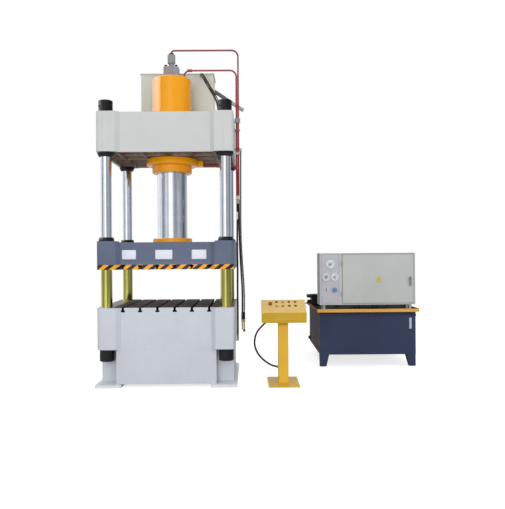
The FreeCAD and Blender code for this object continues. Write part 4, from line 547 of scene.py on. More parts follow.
MAT = {
    "crosshead": painted("crosshead_light_grey_enamel", "#C7C9C9", "#C1C3C3",
                         coat=0.0, gleam=0.35, ior=1.3, wear_amount=0.08, over=under_rust_and_shade,
                         grime="#9B958A"),
    "bed": painted("bed_pale_blue_grey_enamel", BED, "#C0C5CE", grime="#8E8B86",
                   coat=0.08, ior=1.35, over=oiled_top_and_lit_rails),
    "slider": painted("slider_slate_enamel", SLATE, SLATE_DARK, over=hazard_band,
                      coat=0.05, ior=1.3, wear="#9A9DA6", grime="#2E2F33"),
    "slider_plate": slider_face(),
    "table": machined_table(),
    "column": metal("hard_chromed_column", "#F1F3F6", "#E4E7EC", rough=0.07, lines=(1, 1, 80),
                    depth=0.0000008, over=column_tone, spots=0.05),
    "ram": metal("hard_chromed_ram", "#EBEDF2", "#DADDE4", rough=0.07, lines=(1, 1, 70),
                 depth=0.0000008, spots=0.05),
    "black": painted("blackened_steel", "#141519", "#0F1013", rough=0.42, coat=0.0,
                     grime="#3A3835", wear="#4F5053", gleam=0.3),
    "cylinder": painted("cylinder_chrome_yellow_enamel", "#F2A302", "#ED9C01", rough=0.36,
                        coat=1.0, coat_rough=0.2, gleam=0.0, grime="#A86A12", wear="#C98B2A"),
    "red": painted("pipe_red_enamel", "#9C2C36", "#8E2731", rough=0.32, coat=0.3,
                   grime="#5C2024", wear="#B06A66", edge=0.001, over=pipe_tone),
    "tank_grey": painted("top_tank_grey_enamel", "#CED0C6", "#C7C8BE", grime="#9A948A",
                         over=overflow_tone),
    "valve": painted("cast_valve_grey", "#98999C", "#818287", rough=0.6, coat=0.0, ior=1.3,
                     grime="#54545A", grime_amount=0.35, over=valve_tone),
    "screw_black": painted("phosphated_screw_black", "#131315", "#0E0E10", rough=0.7,
                           coat=0.0, ior=1.1),
    "seal": rubber("packing_rubber"),
    "bronze": metal("guide_bronze", "#B98C4A", "#8A6430"),
    "zinc": metal("zinc_plated_steel", "#CFCDBE", "#A29F8C", lines=(1, 1, 30)),
    "fitting": metal("pipe_fitting_steel", "#CFCDBE", "#A29F8C", lines=(1, 1, 30),
                     over=lambda s, c: s.mix(s.between(z=(3.080, 3.130)), c, "#8A6557")),
    "hose": rubber("hydraulic_hose_rubber"),
    "conduit": plastic("corrugated_conduit_grey", "#73777B", "#606468", rough=0.42, coat=0.3),
    "dark_conduit": plastic("corrugated_conduit_black", "#121214", "#0E0E10"),
    "cable": rubber("cable_sheath", "#1F1D1C", 1200.0, 0.6),
    "cable_brown": rubber("cable_sheath_brown", "#352C27", 1200.0, 0.6),
    "hose_ends": painted("hose_end_fittings", "#B9B08E", "#B9B08E", rough=0.35, over=hose_end_tone,
                         edge=0.001, wear="#D8D2B8"),
    "yellow": painted("pedestal_yellow_enamel", "#E0B63E", "#D7AB34", rough=0.46, coat=0.08,
                      gleam=0.3, grime="#8A6A20", wear="#A89058", wear_amount=0.5,
                      over=console_tone),
    "navy": painted("oil_tank_navy_enamel", "#3D455E", "#384058", rough=0.55, coat=0.0,
                    ior=1.06, grime="#23262F", wear="#6D7488", over=tank_side),
    "rim": painted("tank_rim_ochre_enamel", "#E2AE5A", "#D6A24E", rough=0.7, coat=0.0,
                   ior=1.12, grime="#6F5426", wear="#8F7A4E", over=lid_inside),
    "cabinet": painted("cabinet_grey_powder_coat", "#BEC1BF", "#B5B8B6", rough=0.45,
                       coat=0.05, ior=1.3, grime="#8E918C", peel=0.0006, over=cabinet_seams),
    "motor": painted("motor_blue_grey_enamel", "#3D4C66", "#35435B", grime="#22262F"),
    "rotor": metal("turned_shaft_steel", "#B8BABD", "#85878A"),
    "lens": plastic("lamp_lenses", "#CFC5C4", "#C2B6B4", rough=0.15, coat=0.8,
                    over=lambda s, c: s.mix(s.between(x=(1.33, 1.40)), c, "#A9B35A")),
    "selector": plastic("selector_two_tone", "#DDDFE2", "#CFD2D6", rough=0.3, coat=0.3,
                        over=lambda s, c: s.mix(s.between(x=(1.98, 2.021)), c, "#85866C")),
    "sight_case": plastic("sight_gauge_case_pale", "#B9BACB", "#A9AABD", rough=0.3, coat=0.3),
    "dot": plastic("plain_round_sticker", "#C8C5A2", "#BDBA98"),
    "stop": plastic("stop_button_red", "#A84A26", "#98401F", rough=0.45, coat=0.1),
    "bezel": metal("bezel_dulled_steel", "#5A5448", "#3F3A31", rough=0.45),
    "handle": plastic("door_handle_grey", "#77777E", "#696970", rough=0.35, coat=0.3),
    "blue": plastic("hand_knob_blue", "#3F86B8", "#3678A8", coat=0.4, rough=0.3),
    "white": painted("white_enamel_plate", "#DDDFEA", "#D3D6E5", rough=0.3,
                     grime="#B9BAC4", wear="#B5B5BD", edge=0.001),
    "dial": plastic("gauge_dial_white", "#ECEEF1", "#E6E8EC", over=dial_tone),
    "ink": plastic("dial_ink_black", "#1A1A1A", "#242424", rough=0.6),
    "glass": glass("instrument_glass"),
    "weld_bed": weld_metal("weld_painted_pale_grey", "#BFC4CD", "#9EA3AC"),
    "weld_navy": weld_metal("weld_painted_navy", "#323A52", "#252B3D"),
    "weld_yellow": weld_metal("weld_painted_yellow", "#D6A932", "#A98227"),
    "tape": plastic("white_marking_band", "#E8E6E0", "#DAD7CF", coat=0.3),
    "ochre": plastic("plain_triangle_yellow", "#C2B765", "#B5AA58"),
    "tie": plastic("cable_tie_pale", "#CFCFCB", "#BDBDB8", coat=0.3),
    "bracket": painted("pipe_bracket_grey", "#8F9498", "#7F8488", wear="#B5B8BA", edge=0.001),
}

for push_name, push_tone, push_dark in (
        ("red", "#8E2A20", "#7E231A"), ("dark_red", "#4A1E18", "#3C1813"),
        ("black", "#241C1A", "#1B1513"), ("green", "#3C6E3A", "#335F31"),
        ("pale_green", "#A8A85A", "#98984C")):
    MAT["push_" + push_name] = plastic("push_button_" + push_name, push_tone, push_dark)

# The CAD nodes of each finish.
FINISHES = {
    "bed": "bed_stand bed_frame", "table": "bed_table", "column": "columns", "ram": "ram",
    "black": "column_nuts column_collars hydraulic_screws wiper_glands ram_flange_screws "
             "breather_cap valve_manifold",
    "crosshead": "crosshead", "cylinder": "cylinder_barrel cylinder_lock_ring cylinder_gland "
                                          "ram_flange",
    "seal": "ram_seals", "valve": "prefill_valve", "tank_grey": "top_tank",
    "red": "pilot_pipe press_pipe return_pipe", "fitting": "pipe_fittings",
    "hose_ends": "hose_end_fittings", "slider": "slider_beam", "slider_plate": "slider_plate",
    "bronze": "guide_bushes", "yellow": "pedestal_stand console_box", "stop": "stop_button",
    "push_pale_green": "button_yellow", "push_red": "button_red",
    "push_green": "button_green button_start", "push_dark_red": "button_dark",
    "push_black": "button_black", "lens": "indicator_lamps", "bezel": "button_bezels",
    "navy": "oil_tank", "rim": "tank_lid", "sight_case": "level_gauge",
    "cabinet": "cabinet cabinet_door", "handle": "door_handle", "white": "gauge_cases",
    "ink": "gauge_needle_upper gauge_needle_left gauge_needle_right", "blue": "pressure_knob",
    "selector": "selector_switch", "motor": "motor pump", "rotor": "motor_rotor",
}
for node_finish, node_names in FINISHES.items():
    for node_name in node_names.split():
        node = NODES[node_name]
        if not node.material_slots:
            node.data.materials.append(MAT[node_finish])
        for material_slot in node.material_slots:
            material_slot.material = MAT[node_finish]


# ============================================================ mesh helpers
def in_scene(name, data):
    """Object of the data, linked to the scene."""
    obj = bpy.data.objects.new(name, data)
    bpy.context.scene.collection.objects.link(obj)
    return obj


def baked(helper):
    """Mesh of a helper object with its modifiers; the helper goes."""
    graph = bpy.context.evaluated_depsgraph_get()
    graph.update()
    data = bpy.data.meshes.new_from_object(helper.evaluated_get(graph))
    bpy.data.objects.remove(helper)
    return data


def to_mesh(name, bm):
    data = bpy.data.meshes.new(name)
    bmesh.ops.recalc_face_normals(bm, faces=bm.faces)
    bm.to_mesh(data)
    bm.free()
    return data


def piece(name, shape, finish, slot, body=PRESS, angle=35.0):
    """Object of a mesh or a bmesh, with its material, that moves with its body."""
    data = to_mesh(name, shape) if isinstance(shape, bmesh.types.BMesh) else shape
    if not data.materials:
        for item in finish if isinstance(finish, list) else [finish]:
            data.materials.append(MAT[item])
    data.shade_smooth()
    data.set_sharp_from_angle(angle=math.radians(angle))
    obj = in_scene(name, data)
    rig.ride(obj, body)
    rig.slot(obj, slot)
    return obj


def slim_rotor():
    """The motor's shaft is turned down by 0.3 mm: its facets clear the bearings' facets."""
    axis_y, axis_z = 1.25, 0.963
    slim, widest = 0.0207, 0.0212
    data = NODES["motor_rotor"].data.copy()
    for vertex in data.vertices:
        off = Vector((0, vertex.co.y - axis_y, vertex.co.z - axis_z))
        if slim < off.length < widest:
            vertex.co -= off * (1 - slim / off.length)
    obj = piece("motor_rotor_slim", data, "rotor", "zinc", "motor_rotor_body")
    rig.replaces(obj, "motor_rotor")


def low_valve():
    """The prefill valve with a lower block and a taller head, and its screws on the block."""
    # What lies above each level, from the top down, is lowered by the second value.
    head, shoulder, block = (4.0, 0), (3.95, 0.022), (3.88, 0.040)
    for name, finish, slot, steps in (
            ("prefill_valve", "valve", "valve_steel", (head, shoulder, block)),
            ("hydraulic_screws", "screw_black", "black_steel", (block,))):
        data = NODES[name].data.copy()
        for vertex in data.vertices:
            vertex.co.z -= next((drop for level, drop in steps if vertex.co.z > level), 0)
        data.materials.clear()
        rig.replaces(piece(name + "_low", data, finish, slot), name)


FLAT = Matrix.Identity(4)


def to_operator(x, y, z):
    """Matrix at a point whose X looks right, Y up and Z towards the operator."""
    return Matrix.Translation((x, y, z)) @ Matrix(((1, 0, 0), (0, 0, -1), (0, 1, 0))).to_4x4()


def bridge(bm, rings, material=0):
    """Faces between neighbouring rings of vertices; a ring of one vertex is a tip."""
    for a, b in zip(rings, rings[1:]):
        if len(a) == 1 and len(b) == 1:
            continue
        steps = max(len(a), len(b))
        for i in range(steps):
            j = (i + 1) % steps
            if len(a) == 1:
                corners = (a[0], b[i], b[j])
            elif len(b) == 1:
                corners = (a[i], b[0], a[j])
            else:
                corners = (a[i], b[i], b[j], a[j])
            bm.faces.new(corners).material_index = material


def add_lathe(bm, profile, steps, place=FLAT):
    """Turned body from (radius, height) points about the place's Z axis; returns its rings."""
    rings = []
    for radius, height in profile:
        turns = [TAU * i / steps for i in range(steps if radius > 0 else 1)]
        rings.append([bm.verts.new(place @ Vector((radius * math.cos(a), radius * math.sin(a),
                                                   height))) for a in turns])
    bridge(bm, rings)
    return rings


def turned(name, profile, steps, place, finish, slot):
    """Piece that is one turned body."""
    bm = bmesh.new()
    add_lathe(bm, profile, steps, place)
    return piece(name, bm, finish, slot)


def add_slab(bm, low, high, bevel=0.001, place=FLAT):
    """Box with rounded edges."""
    part = bmesh.new()
    bmesh.ops.create_cube(part, size=1.0)
    bmesh.ops.scale(part, vec=[h - l for l, h in zip(low, high)], verts=part.verts)
    bmesh.ops.translate(part, vec=[(h + l) / 2 for l, h in zip(low, high)], verts=part.verts)
    if bevel:
        bmesh.ops.bevel(part, geom=part.edges[:], offset=bevel, segments=2, affect="EDGES",
                        profile=0.5)
    bmesh.ops.transform(part, matrix=place, verts=part.verts)
    data = bpy.data.meshes.new("slab")
    part.to_mesh(data)
    part.free()
    bm.from_mesh(data)
    bpy.data.meshes.remove(data)


def sweep(bm, path, radius, steps, material=0):
    """Closed round tube along points; radius is a number or a function of distance."""
    points = [Vector(p) for p in path]
    tangents = [(points[min(i + 1, len(points) - 1)] - points[max(i - 1, 0)]).normalized()
                for i in range(len(points))]
    guide = Vector((0, 1, 0)) if abs(tangents[0].y) < 0.9 else Vector((1, 0, 0))
    side = tangents[0].cross(guide).normalized()
    distance = 0.0
    rings = []
    for i, p in enumerate(points):
        if i:
            distance += (p - points[i - 1]).length
            side = (side - tangents[i] * side.dot(tangents[i])).normalized()
        other = tangents[i].cross(side)
        r = radius(distance) if callable(radius) else radius
        rings.append([bm.verts.new(p + (side * math.cos(TAU * k / steps)
                                        + other * math.sin(TAU * k / steps)) * r)
                      for k in range(steps)])
    bridge(bm, rings, material)
    for cap in (rings[0], rings[-1][::-1]):
        bm.faces.new(cap).material_index = material


def dense(points, step):
    """Points every step along a polyline."""
    out = []
    for a, b in zip(points, points[1:]):
        a, b = Vector(a), Vector(b)
        count = max(1, int((b - a).length / step))
        out += [a.lerp(b, i / count) for i in range(count)]
    return out + [Vector(points[-1])]


def add_weld(bm, points, radius):
    """Rippled weld bead along a polyline."""
    pitch = 0.006
    path = dense(points, pitch / 2.0)
    jitter = [p + Vector([(random.random() - 0.5) * radius * 0.16 for _ in range(3)])
              for p in path]
    sweep(bm, jitter, lambda d: radius * (0.86 + 0.14 * math.cos(TAU * d / pitch)), 7)


# ------------------------------------------------------------ repeats by Geometry Nodes
def repeat_group():
    """Geometry Nodes: a fastener on every point of a mesh, turned to the point's normal."""
    tree = bpy.data.node_groups.new("repeat_fasteners", "GeometryNodeTree")
    for socket, direction, kind in (
            ("Geometry", "INPUT", "Geometry"), ("Fastener", "INPUT", "Object"),
            ("Size", "INPUT", "Float"), ("Finish", "INPUT", "Material"),
            ("Geometry", "OUTPUT", "Geometry")):
        tree.interface.new_socket(socket, in_out=direction, socket_type="NodeSocket" + kind)
    add = tree.nodes.new
    inlet, outlet = add("NodeGroupInput"), add("NodeGroupOutput")
    info, place = add("GeometryNodeObjectInfo"), add("GeometryNodeInstanceOnPoints")
    align, facing = add("FunctionNodeAlignEulerToVector"), add("GeometryNodeInputNamedAttribute")
    real, paint = add("GeometryNodeRealizeInstances"), add("GeometryNodeSetMaterial")
    align.axis = "Z"
    facing.data_type = "FLOAT_VECTOR"
    facing.inputs["Name"].default_value = "facing"
    for source, target in (
            (inlet.outputs["Fastener"], info.inputs["Object"]),
            (inlet.outputs["Geometry"], place.inputs["Points"]),
            (info.outputs["Geometry"], place.inputs["Instance"]),
            (facing.outputs[0], align.inputs["Vector"]),
            (align.outputs[0], place.inputs["Rotation"]),
            (inlet.outputs["Size"], place.inputs["Scale"]),
            (place.outputs[0], real.inputs[0]),
            (real.outputs[0], paint.inputs["Geometry"]),
            (inlet.outputs["Finish"], paint.inputs["Material"]),
            (paint.outputs[0], outlet.inputs[0])):
        tree.links.new(source, target)
    return tree


REPEAT = repeat_group()


def template(kind):
    """Unit fastener, 1 m across, hidden: only its copies are kept."""
    bm = bmesh.new()
    if kind == "hex":
        # A washer, and a hexagon head with a chamfered crown on it.
        add_lathe(bm, [(0, 0), (0.95, 0), (0.95, 0.112), (0.88, 0.14), (0, 0.14)], 24)
        corner = 1 / math.sqrt(3)
        rings = add_lathe(bm, [(corner, 0.14), (corner, 0.636), (corner * 0.86, 0.76)], 6)
        bm.faces.new(rings[-1])
    elif kind == "socket":
        add_lathe(bm, [(0.5, 0), (0.5, 0.527), (0.45, 0.62), (0.275, 0.62), (0.25, 0.279),
                       (0, 0.248)], 24)
    else:
        add_lathe(bm, [(0.5, 0), (0.48, 0.14), (0.36, 0.27), (0.16, 0.34), (0, 0.35)], 20)
    return bpy.data.objects.new("unit_" + kind, to_mesh("unit_" + kind, bm))


TEMPLATES = {kind: template(kind) for kind in ("hex", "socket", "dome")}


def fasteners(name, kind, spots, size, body=PRESS, finish="zinc", slot="zinc"):
    """One mesh of like fasteners; spots are (position, normal) pairs."""
    data = bpy.data.meshes.new(name + "_points")
    data.from_pydata([p for p, _ in spots], [], [])
    facing = data.attributes.new("facing", "FLOAT_VECTOR", "POINT")
    for i, (_, normal) in enumerate(spots):
        facing.data[i].vector = normal
    carrier = in_scene(name + "_points", data)
    modifier = carrier.modifiers.new("repeat", "NODES")
    modifier.node_group = REPEAT
    values = {"Fastener": TEMPLATES[kind], "Size": size, "Finish": MAT[finish]}
    for item in REPEAT.interface.items_tree:
        if item.in_out == "INPUT" and item.name in values:
            modifier[item.identifier] = values[item.name]
    made = baked(carrier)
    made.name = name
    return piece(name, made, finish, slot, body)


# ============================================================ cords
def mm(points):
    """Metres from millimetres."""
    return [tuple(v / 1000 for v in p) for p in points]


# Routes from part.py: the points the free lines pass from their exits to their far ends.
PRESS_HOSE = mm([(818, 0, 2229), (821, 2, 1960), (815, 5, 1670), (820, 2, 1370),
                 (816, 5, 1070), (820, 2, 770), (818, 0, 470)])
RETURN_HOSE = mm([(818, 44, 2229), (822, 46, 1950), (816, 43, 1660), (821, 47, 1360),
                  (817, 43, 1060), (821, 46, 760), (818, 44, 470)])
PILOT_HOSE = mm([(841, 0, 2229), (842, -4, 1990), (846, -8, 1720), (857, -10, 1450),
                 (873, -8, 1200), (880, -6, 990), (876, -8, 800)])
SIDE_CONDUIT = mm([(868, 60, 2850), (866, 56, 2560), (864, 50, 2240), (862, 42, 1920),
                   (867, 34, 1660), (880, 26, 1420), (896, 20, 1190), (904, 18, 980),
                   (900, 20, 800)])
CABLE_LOOM = mm([(362, 262, 3884), (366, 166, 3872), (404, 84, 3800), (462, 26, 3690),
                 (528, -36, 3570), (580, -112, 3450), (610, -180, 3340), (618, -204, 3237)])
PEDESTAL_CONDUIT = mm([(1150, -474, 713), (1098, -474, 664), (1052, -470, 606),
                       (1026, -466, 530), (1024, -466, 450), (1050, -468, 372),
                       (1102, -472, 300), (1170, -474, 244), (1238, -474, 206),
                       (1290, -474, 196)])
HOSE_RADIUS = 0.011
# Levels between which the hoses carry their ferrules (lower and upper) and their white band.
LOW_FERRULE, HIGH_FERRULE, BAND = (0.474, 0.530), (2.176, 2.226), (1.977, 2.074)


def nurbs(name, points, radius=0.0):
    """Smooth line whose control points are the route's points."""
    curve = bpy.data.curves.new(name, "CURVE")
    curve.dimensions = "3D"
    spline = curve.splines.new("NURBS")
    spline.points.add(len(points) - 1)
    for target, point in zip(spline.points, points):
        target.co = (*point, 1.0)
    spline.order_u = 3
    spline.use_endpoint_u = True
    spline.resolution_u = 24
    curve.resolution_u = 24
    if radius:
        curve.bevel_depth = radius
        curve.bevel_resolution = 6
        curve.use_fill_caps = True
    return curve


def line_of(name, points):
    """The smooth line's own points."""
    return [v.co.copy() for v in baked(in_scene(name, nurbs(name, points))).vertices]


def length_of(points):
    return sum((b - a).length for a, b in zip(points, points[1:]))


def evenly(points, step):
    """Points at equal distances along a polyline, about a step apart."""
    total = length_of(points)
    count = max(2, round(total / step))
    want = total / count
    out = [points[0]]
    walked = 0.0
    for a, b in zip(points, points[1:]):
        run = (b - a).length
        while walked + run >= want * len(out) and len(out) < count:
            out.append(a.lerp(b, (want * len(out) - walked) / run))
        walked += run
    return out + [points[-1]]


def hose(name, route):
    """Rubber hose: the smooth line itself, with a round section."""
    obj = in_scene(name + "_line", nurbs(name + "_line", route, HOSE_RADIUS))
    obj.data.materials.append(MAT["hose"])
    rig.ride(obj, PRESS)
    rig.replaces(obj, name)
    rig.slot(obj, "rubber")
    return obj, length_of(line_of(name, route))


def corrugated(name, route, diameter, finish):
    """Ribbed conduit that follows the smooth line."""
    pitch = 0.0052
    path = line_of(name, route)
    outer = diameter / 2
    bm = bmesh.new()
    sweep(bm, evenly(path, pitch / 4),
          lambda d: outer * (0.93 + 0.07 * math.cos(TAU * d / pitch)), 14)
    obj = piece(name + "_ribbed", bm, finish, "conduit_grey", angle=80)
    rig.replaces(obj, name)
    return obj, length_of(path), path


def sleeves(name, route, spans, radius, finish, slot):
    """Rings round a line between pairs of levels."""
    bm = bmesh.new()
    path = evenly(line_of(name, route), 0.004)
    for low, high in spans:
        sweep(bm, [p for p in path if low <= p.z <= high], radius, 20)
    return piece(name, bm, finish, slot, angle=50)


for hose_name, route in (("press_hose", PRESS_HOSE), ("return_hose", RETURN_HOSE)):
    line, real_length = hose(hose_name, route)
    band = sleeves(hose_name + "_band", route, [BAND], 0.0122, "tape", "gauge_case")
    crimp = sleeves(hose_name + "_ferrules", route, [LOW_FERRULE, HIGH_FERRULE], 0.0134, "zinc",
                    "zinc")
    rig.cord(line, exit=route[0], length=real_length, diameter=0.022, far_end="object",
            stiffness="stiff", lay="hanging", with_pieces=[band, crimp])
line, real_length = hose("pilot_hose", PILOT_HOSE)
crimp = sleeves("pilot_hose_ferrule", PILOT_HOSE, [HIGH_FERRULE], 0.0134, "zinc", "zinc")
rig.cord(line, exit=PILOT_HOSE[0], length=real_length, diameter=0.022, far_end="fitting",
        stiffness="stiff", lay="hanging", with_pieces=["hose_end_fittings", crimp])
line, real_length, path = corrugated("side_conduit", SIDE_CONDUIT, 0.022, "conduit")
ties = sleeves("side_conduit_ties", SIDE_CONDUIT,
               [(1.783, 1.793), (1.707, 1.717), (1.544, 1.554)], 0.0128, "tie", "gauge_case")
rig.cord(line, exit=SIDE_CONDUIT[0], length=real_length, diameter=0.022, far_end="fitting",
        stiffness="stiff", lay="hanging", path=path, with_pieces=["hose_end_fittings", ties])
line, real_length, path = corrugated("pedestal_conduit", PEDESTAL_CONDUIT, 0.024, "dark_conduit")
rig.cord(line, exit=PEDESTAL_CONDUIT[0], length=real_length, diameter=0.024, far_end="object",
        stiffness="medium", lay="hanging", path=path)


def cable_bundle():
    """Loose cables laid round the smooth line."""
    path = evenly(line_of("loom", CABLE_LOOM), 0.008)
    bm = bmesh.new()
    total = length_of(path)
    # Radius, distance from the middle, first angle, turns over the length, tone.
    strands = ((0.0075, 0.0150, 0.0, 0.55, 0), (0.0062, 0.0160, 1.1, 0.62, 1),
               (0.0070, 0.0150, 2.2, 0.48, 0), (0.0055, 0.0165, 3.3, 0.70, 1),
               (0.0068, 0.0155, 4.2, 0.52, 0), (0.0052, 0.0170, 5.3, 0.66, 1),
               (0.0060, 0.0030, 0.4, 0.30, 0))
    for thick, offset, phase, turns, tone in strands:
        points = []
        walked = 0.0
        for i, p in enumerate(path):
            a, b = path[max(i - 1, 0)], path[min(i + 1, len(path) - 1)]
            if i:
                walked += (p - path[i - 1]).length
            tangent = (b - a).normalized()
            side = tangent.cross(Vector((0, 1, 0.2))).normalized()
            up = side.cross(tangent)
            angle = phase + TAU * turns * walked / total
            points.append(p + (side * math.cos(angle) + up * math.sin(angle)) * offset)
        sweep(bm, points, thick, 9, material=tone)
    obj = piece("cable_loom_strands", bm, ["cable", "cable_brown"], "rubber", angle=60)
    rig.replaces(obj, "cable_loom")
    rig.cord(obj, exit=CABLE_LOOM[0], length=total, diameter=0.046, far_end="object",
            stiffness="medium", lay="hanging", path=path)


random.seed(7)
cable_bundle()


# ============================================================ press details
# Centres of the columns, faces of the cabinet and the oil tank, top of the top tank's lid.
COLUMN_X, COLUMN_Y = 0.695, 0.605
CABINET_FRONT, CABINET_REAR = 0.543, 0.8475
TANK = (1.924, 3.224, 0.546, 1.946)
TOP_TANK_LID = 3.918


def slider_plates():
    """Three blank enamelled plates on the sliding beam's front, each on four rivets."""
    bm = bmesh.new()
    rivets = []
    face, low, high, inset = -0.650, 1.484, 1.591, 0.009
    for x0, x1 in ((-0.505, -0.344), (-0.120, 0.077), (0.302, 0.471)):
        add_slab(bm, (x0, face - 0.0022, low), (x1, face + 0.0002, high), 0.0009)
        rivets += [((x, face - 0.0021, z), (0, -1, 0)) for x in (x0 + inset, x1 - inset)
                   for z in (low + inset, high - inset)]
    piece("slider_blank_plates", bm, "white", "gauge_case", SLIDER)
    fasteners("slider_plate_rivets", "dome", rivets, 0.007, SLIDER)


def around(x0, x1, y0, y1, z):
    """Closed rectangle at one level."""
    return [(x0, y0, z), (x1, y0, z), (x1, y1, z), (x0, y1, z), (x0, y0, z)]


def welds():
    """Fillet welds where plates of the stand, the pedestal and the oil tank meet."""
    bm = bmesh.new()
    floor, top = 0.035, 0.440
    leg, skirt, panel, web, side = 0.519, 0.580, 0.650, 0.493, 0.780
    for sy in (-1, 1):
        for sx in (-1, 1):
            add_weld(bm, [(sx * skirt, sy * panel, top), (sx * skirt, sy * web, top),
                          (sx * side, sy * web, top)], 0.005)
            add_weld(bm, [(sx * leg, sy * panel, floor), (sx * skirt, sy * panel, floor),
                          (sx * skirt, sy * web, floor), (sx * side, sy * web, floor)], 0.006)
            add_weld(bm, [(sx * skirt, sy * web, floor), (sx * skirt, sy * web, top)], 0.004)
    for sx in (-1, 1):
        for z, radius in ((floor, 0.006), (top, 0.005)):
            add_weld(bm, [(sx * side, -web, z), (sx * side, web, z)], radius)
    piece("stand_welds", bm, "weld_bed", "bed_paint", angle=60)

    bm = bmesh.new()
    for z, radius in ((0.012, 0.004), (0.733, 0.003)):
        add_weld(bm, around(1.304, 1.424, -0.534, -0.414, z), radius)
    piece("pedestal_welds", bm, "weld_yellow", "yellow_paint", angle=60)

    bm = bmesh.new()
    low, high = 0.160, 0.736
    add_weld(bm, around(*TANK, high), 0.0035)
    for x, y, _ in around(*TANK, high)[:4]:
        add_weld(bm, [(x, y, low), (x, y, high)], 0.003)
    piece("tank_welds", bm, "weld_navy", "navy_paint", angle=60)


def column_hardware():
    """Lock screws of the column nuts, screws of the wiper glands."""
    # Radius and level of the screws on the top nuts, the bottom nuts and the glands.
    top_nut, bottom_nut, gland = (0.0815, 3.262), (0.084, 0.362), (0.074, 1.7395)
    lock, wiper = [], []
    for x in (-COLUMN_X, COLUMN_X):
        for y in (-COLUMN_Y, COLUMN_Y):
            for k in range(4):
                c, s = math.cos(TAU * (k + 0.5) / 4), math.sin(TAU * (k + 0.5) / 4)
                lock += [((x + r * c, y + r * s, z), (c, s, 0)) for r, z in (top_nut, bottom_nut)]
            for k in range(6):
                a, (r, z) = TAU * (k + 0.5) / 6, gland
                wiper.append(((x + r * math.cos(a), y + r * math.sin(a), z), (0, 0, 1)))
    fasteners("nut_lock_screws", "socket", lock, 0.018, finish="black", slot="black_steel")
    fasteners("wiper_gland_screws", "socket", wiper, 0.009, SLIDER)


def add_number(bm, text, spot, size):
    """Generic figures of a dial, flat, facing the operator."""
    curve = bpy.data.curves.new("figure", "FONT")
    curve.body = text
    curve.size = size
    curve.extrude = 0.0001
    curve.align_x = "CENTER"
    curve.align_y = "CENTER"
    data = baked(in_scene("figure", curve))
    data.transform(Matrix.Translation(spot) @ Matrix.Rotation(math.pi / 2, 4, "X"))
    bm.from_mesh(data)
    bpy.data.meshes.remove(data)


def gauge_faces():
    """Dial, scale, numbers, rim and glass of the three pressure gauges."""
    dial_y = 0.532
    front = 0.0100
    start, span, marks, figures = 225, 270, 50, 5
    for name, x, z, diameter in (("upper", 2.067, 1.393, 0.117), ("left", 2.011, 1.217, 0.105),
                                 ("right", 2.127, 1.217, 0.105)):
        radius = diameter / 2 - 0.009
        place = to_operator(x, dial_y, z)
        turned("gauge_dial_" + name, [(0, 0.0004), (radius - 0.0004, 0.0004),
                                      (radius - 0.0004, 0.0001)],
               48, place, "dial", "gauge_case")
        bm = bmesh.new()
        for k in range(marks + 1):
            turn = Matrix.Rotation(math.radians(start - span * k / marks), 4, "Z")
            inner, width = (0.78, 0.0010) if k % 10 == 0 else (0.86, 0.0005)
            add_slab(bm, (radius * inner, -width / 2, 0.0004), (radius * 0.93, width / 2, 0.0006),
                     0, place @ turn)
        piece("gauge_scale_" + name, bm, "ink", "needle")
        bm = bmesh.new()
        reach = radius * 0.62
        for k in range(figures + 1):
            a = math.radians(start - span * k / figures)
            spot = place @ Vector((math.cos(a) * reach, math.sin(a) * reach, 0.0004))
            add_number(bm, str(k * 5), spot, radius * 0.2)
        piece("gauge_numbers_" + name, bm, "ink", "needle")
        turned("gauge_rim_" + name,
               [(radius + 0.0085, front - 0.006), (radius + 0.0088, front - 0.001),
                (radius + 0.006, front - 0.0002), (radius - 0.0005, front - 0.0004),
                (radius - 0.0005, front - 0.004)], 48, place, "dial", "gauge_case")
        turned("gauge_glass_" + name,
               [(0, front - 0.0012), (radius - 0.0006, front - 0.0012),
                (radius - 0.0006, front - 0.0028), (0, front - 0.0028)],
               48, place, "glass", "sight_glass")


def cabinet_details():
    """Blank triangle and round sticker, and the lock's plate."""
    bm = bmesh.new()
    middle_x, middle_z = 2.727, 1.173
    corners = []
    for k in range(3):
        for turn, reach in ((-14, 0.050), (0, 0.0525), (14, 0.050)):
            a = math.radians(90 + 120 * k + turn)
            corners.append((middle_x + reach * math.cos(a), middle_z + reach * math.sin(a)))
    low = [bm.verts.new((x, CABINET_FRONT + 0.0002, z)) for x, z in corners]
    high = [bm.verts.new((x, CABINET_FRONT - 0.0006, z)) for x, z in corners]
    bm.faces.new(high)
    bridge(bm, [low, high])
    piece("plain_triangle", bm, "ochre", "gauge_case", "cabinet_door_body")
    turned("round_sticker", [(0, 0.0005), (0.0185, 0.0005), (0.019, 0.0)], 36,
           to_operator(2.077, 0.546, 0.963), "dot", "gauge_case")
    bm = bmesh.new()
    add_slab(bm, (3.122, CABINET_FRONT - 0.0030, 1.168), (3.162, CABINET_FRONT + 0.0002, 1.238),
             0.0014)
    add_lathe(bm, [(0.0095, 0), (0.0095, 0.003), (0.0085, 0.0036), (0.003, 0.0036),
                   (0.003, 0.001), (0, 0.001)], 24,
              to_operator(3.134, CABINET_FRONT - 0.003, 1.184))
    piece("lock_plate", bm, "sight_case", "gauge_case", "cabinet_door_body")


def pipe_brackets():
    """Saddle that holds the upright pipes to the upper beam's side, with its screws."""
    bm = bmesh.new()
    add_slab(bm, (0.7945, -0.020, 3.197), (0.862, 0.020, 3.257), 0.002)
    piece("pipe_saddle", bm, "bracket", "black_steel")
    spots = [((x, y, z), (1, 0, 0)) for x, levels in ((0.862, (3.212, 3.242)),
                                                      (0.863, (2.810, 3.105)))
             for y in (-0.011, 0.011) for z in levels]
    fasteners("pipe_saddle_screws", "socket", spots, 0.008)


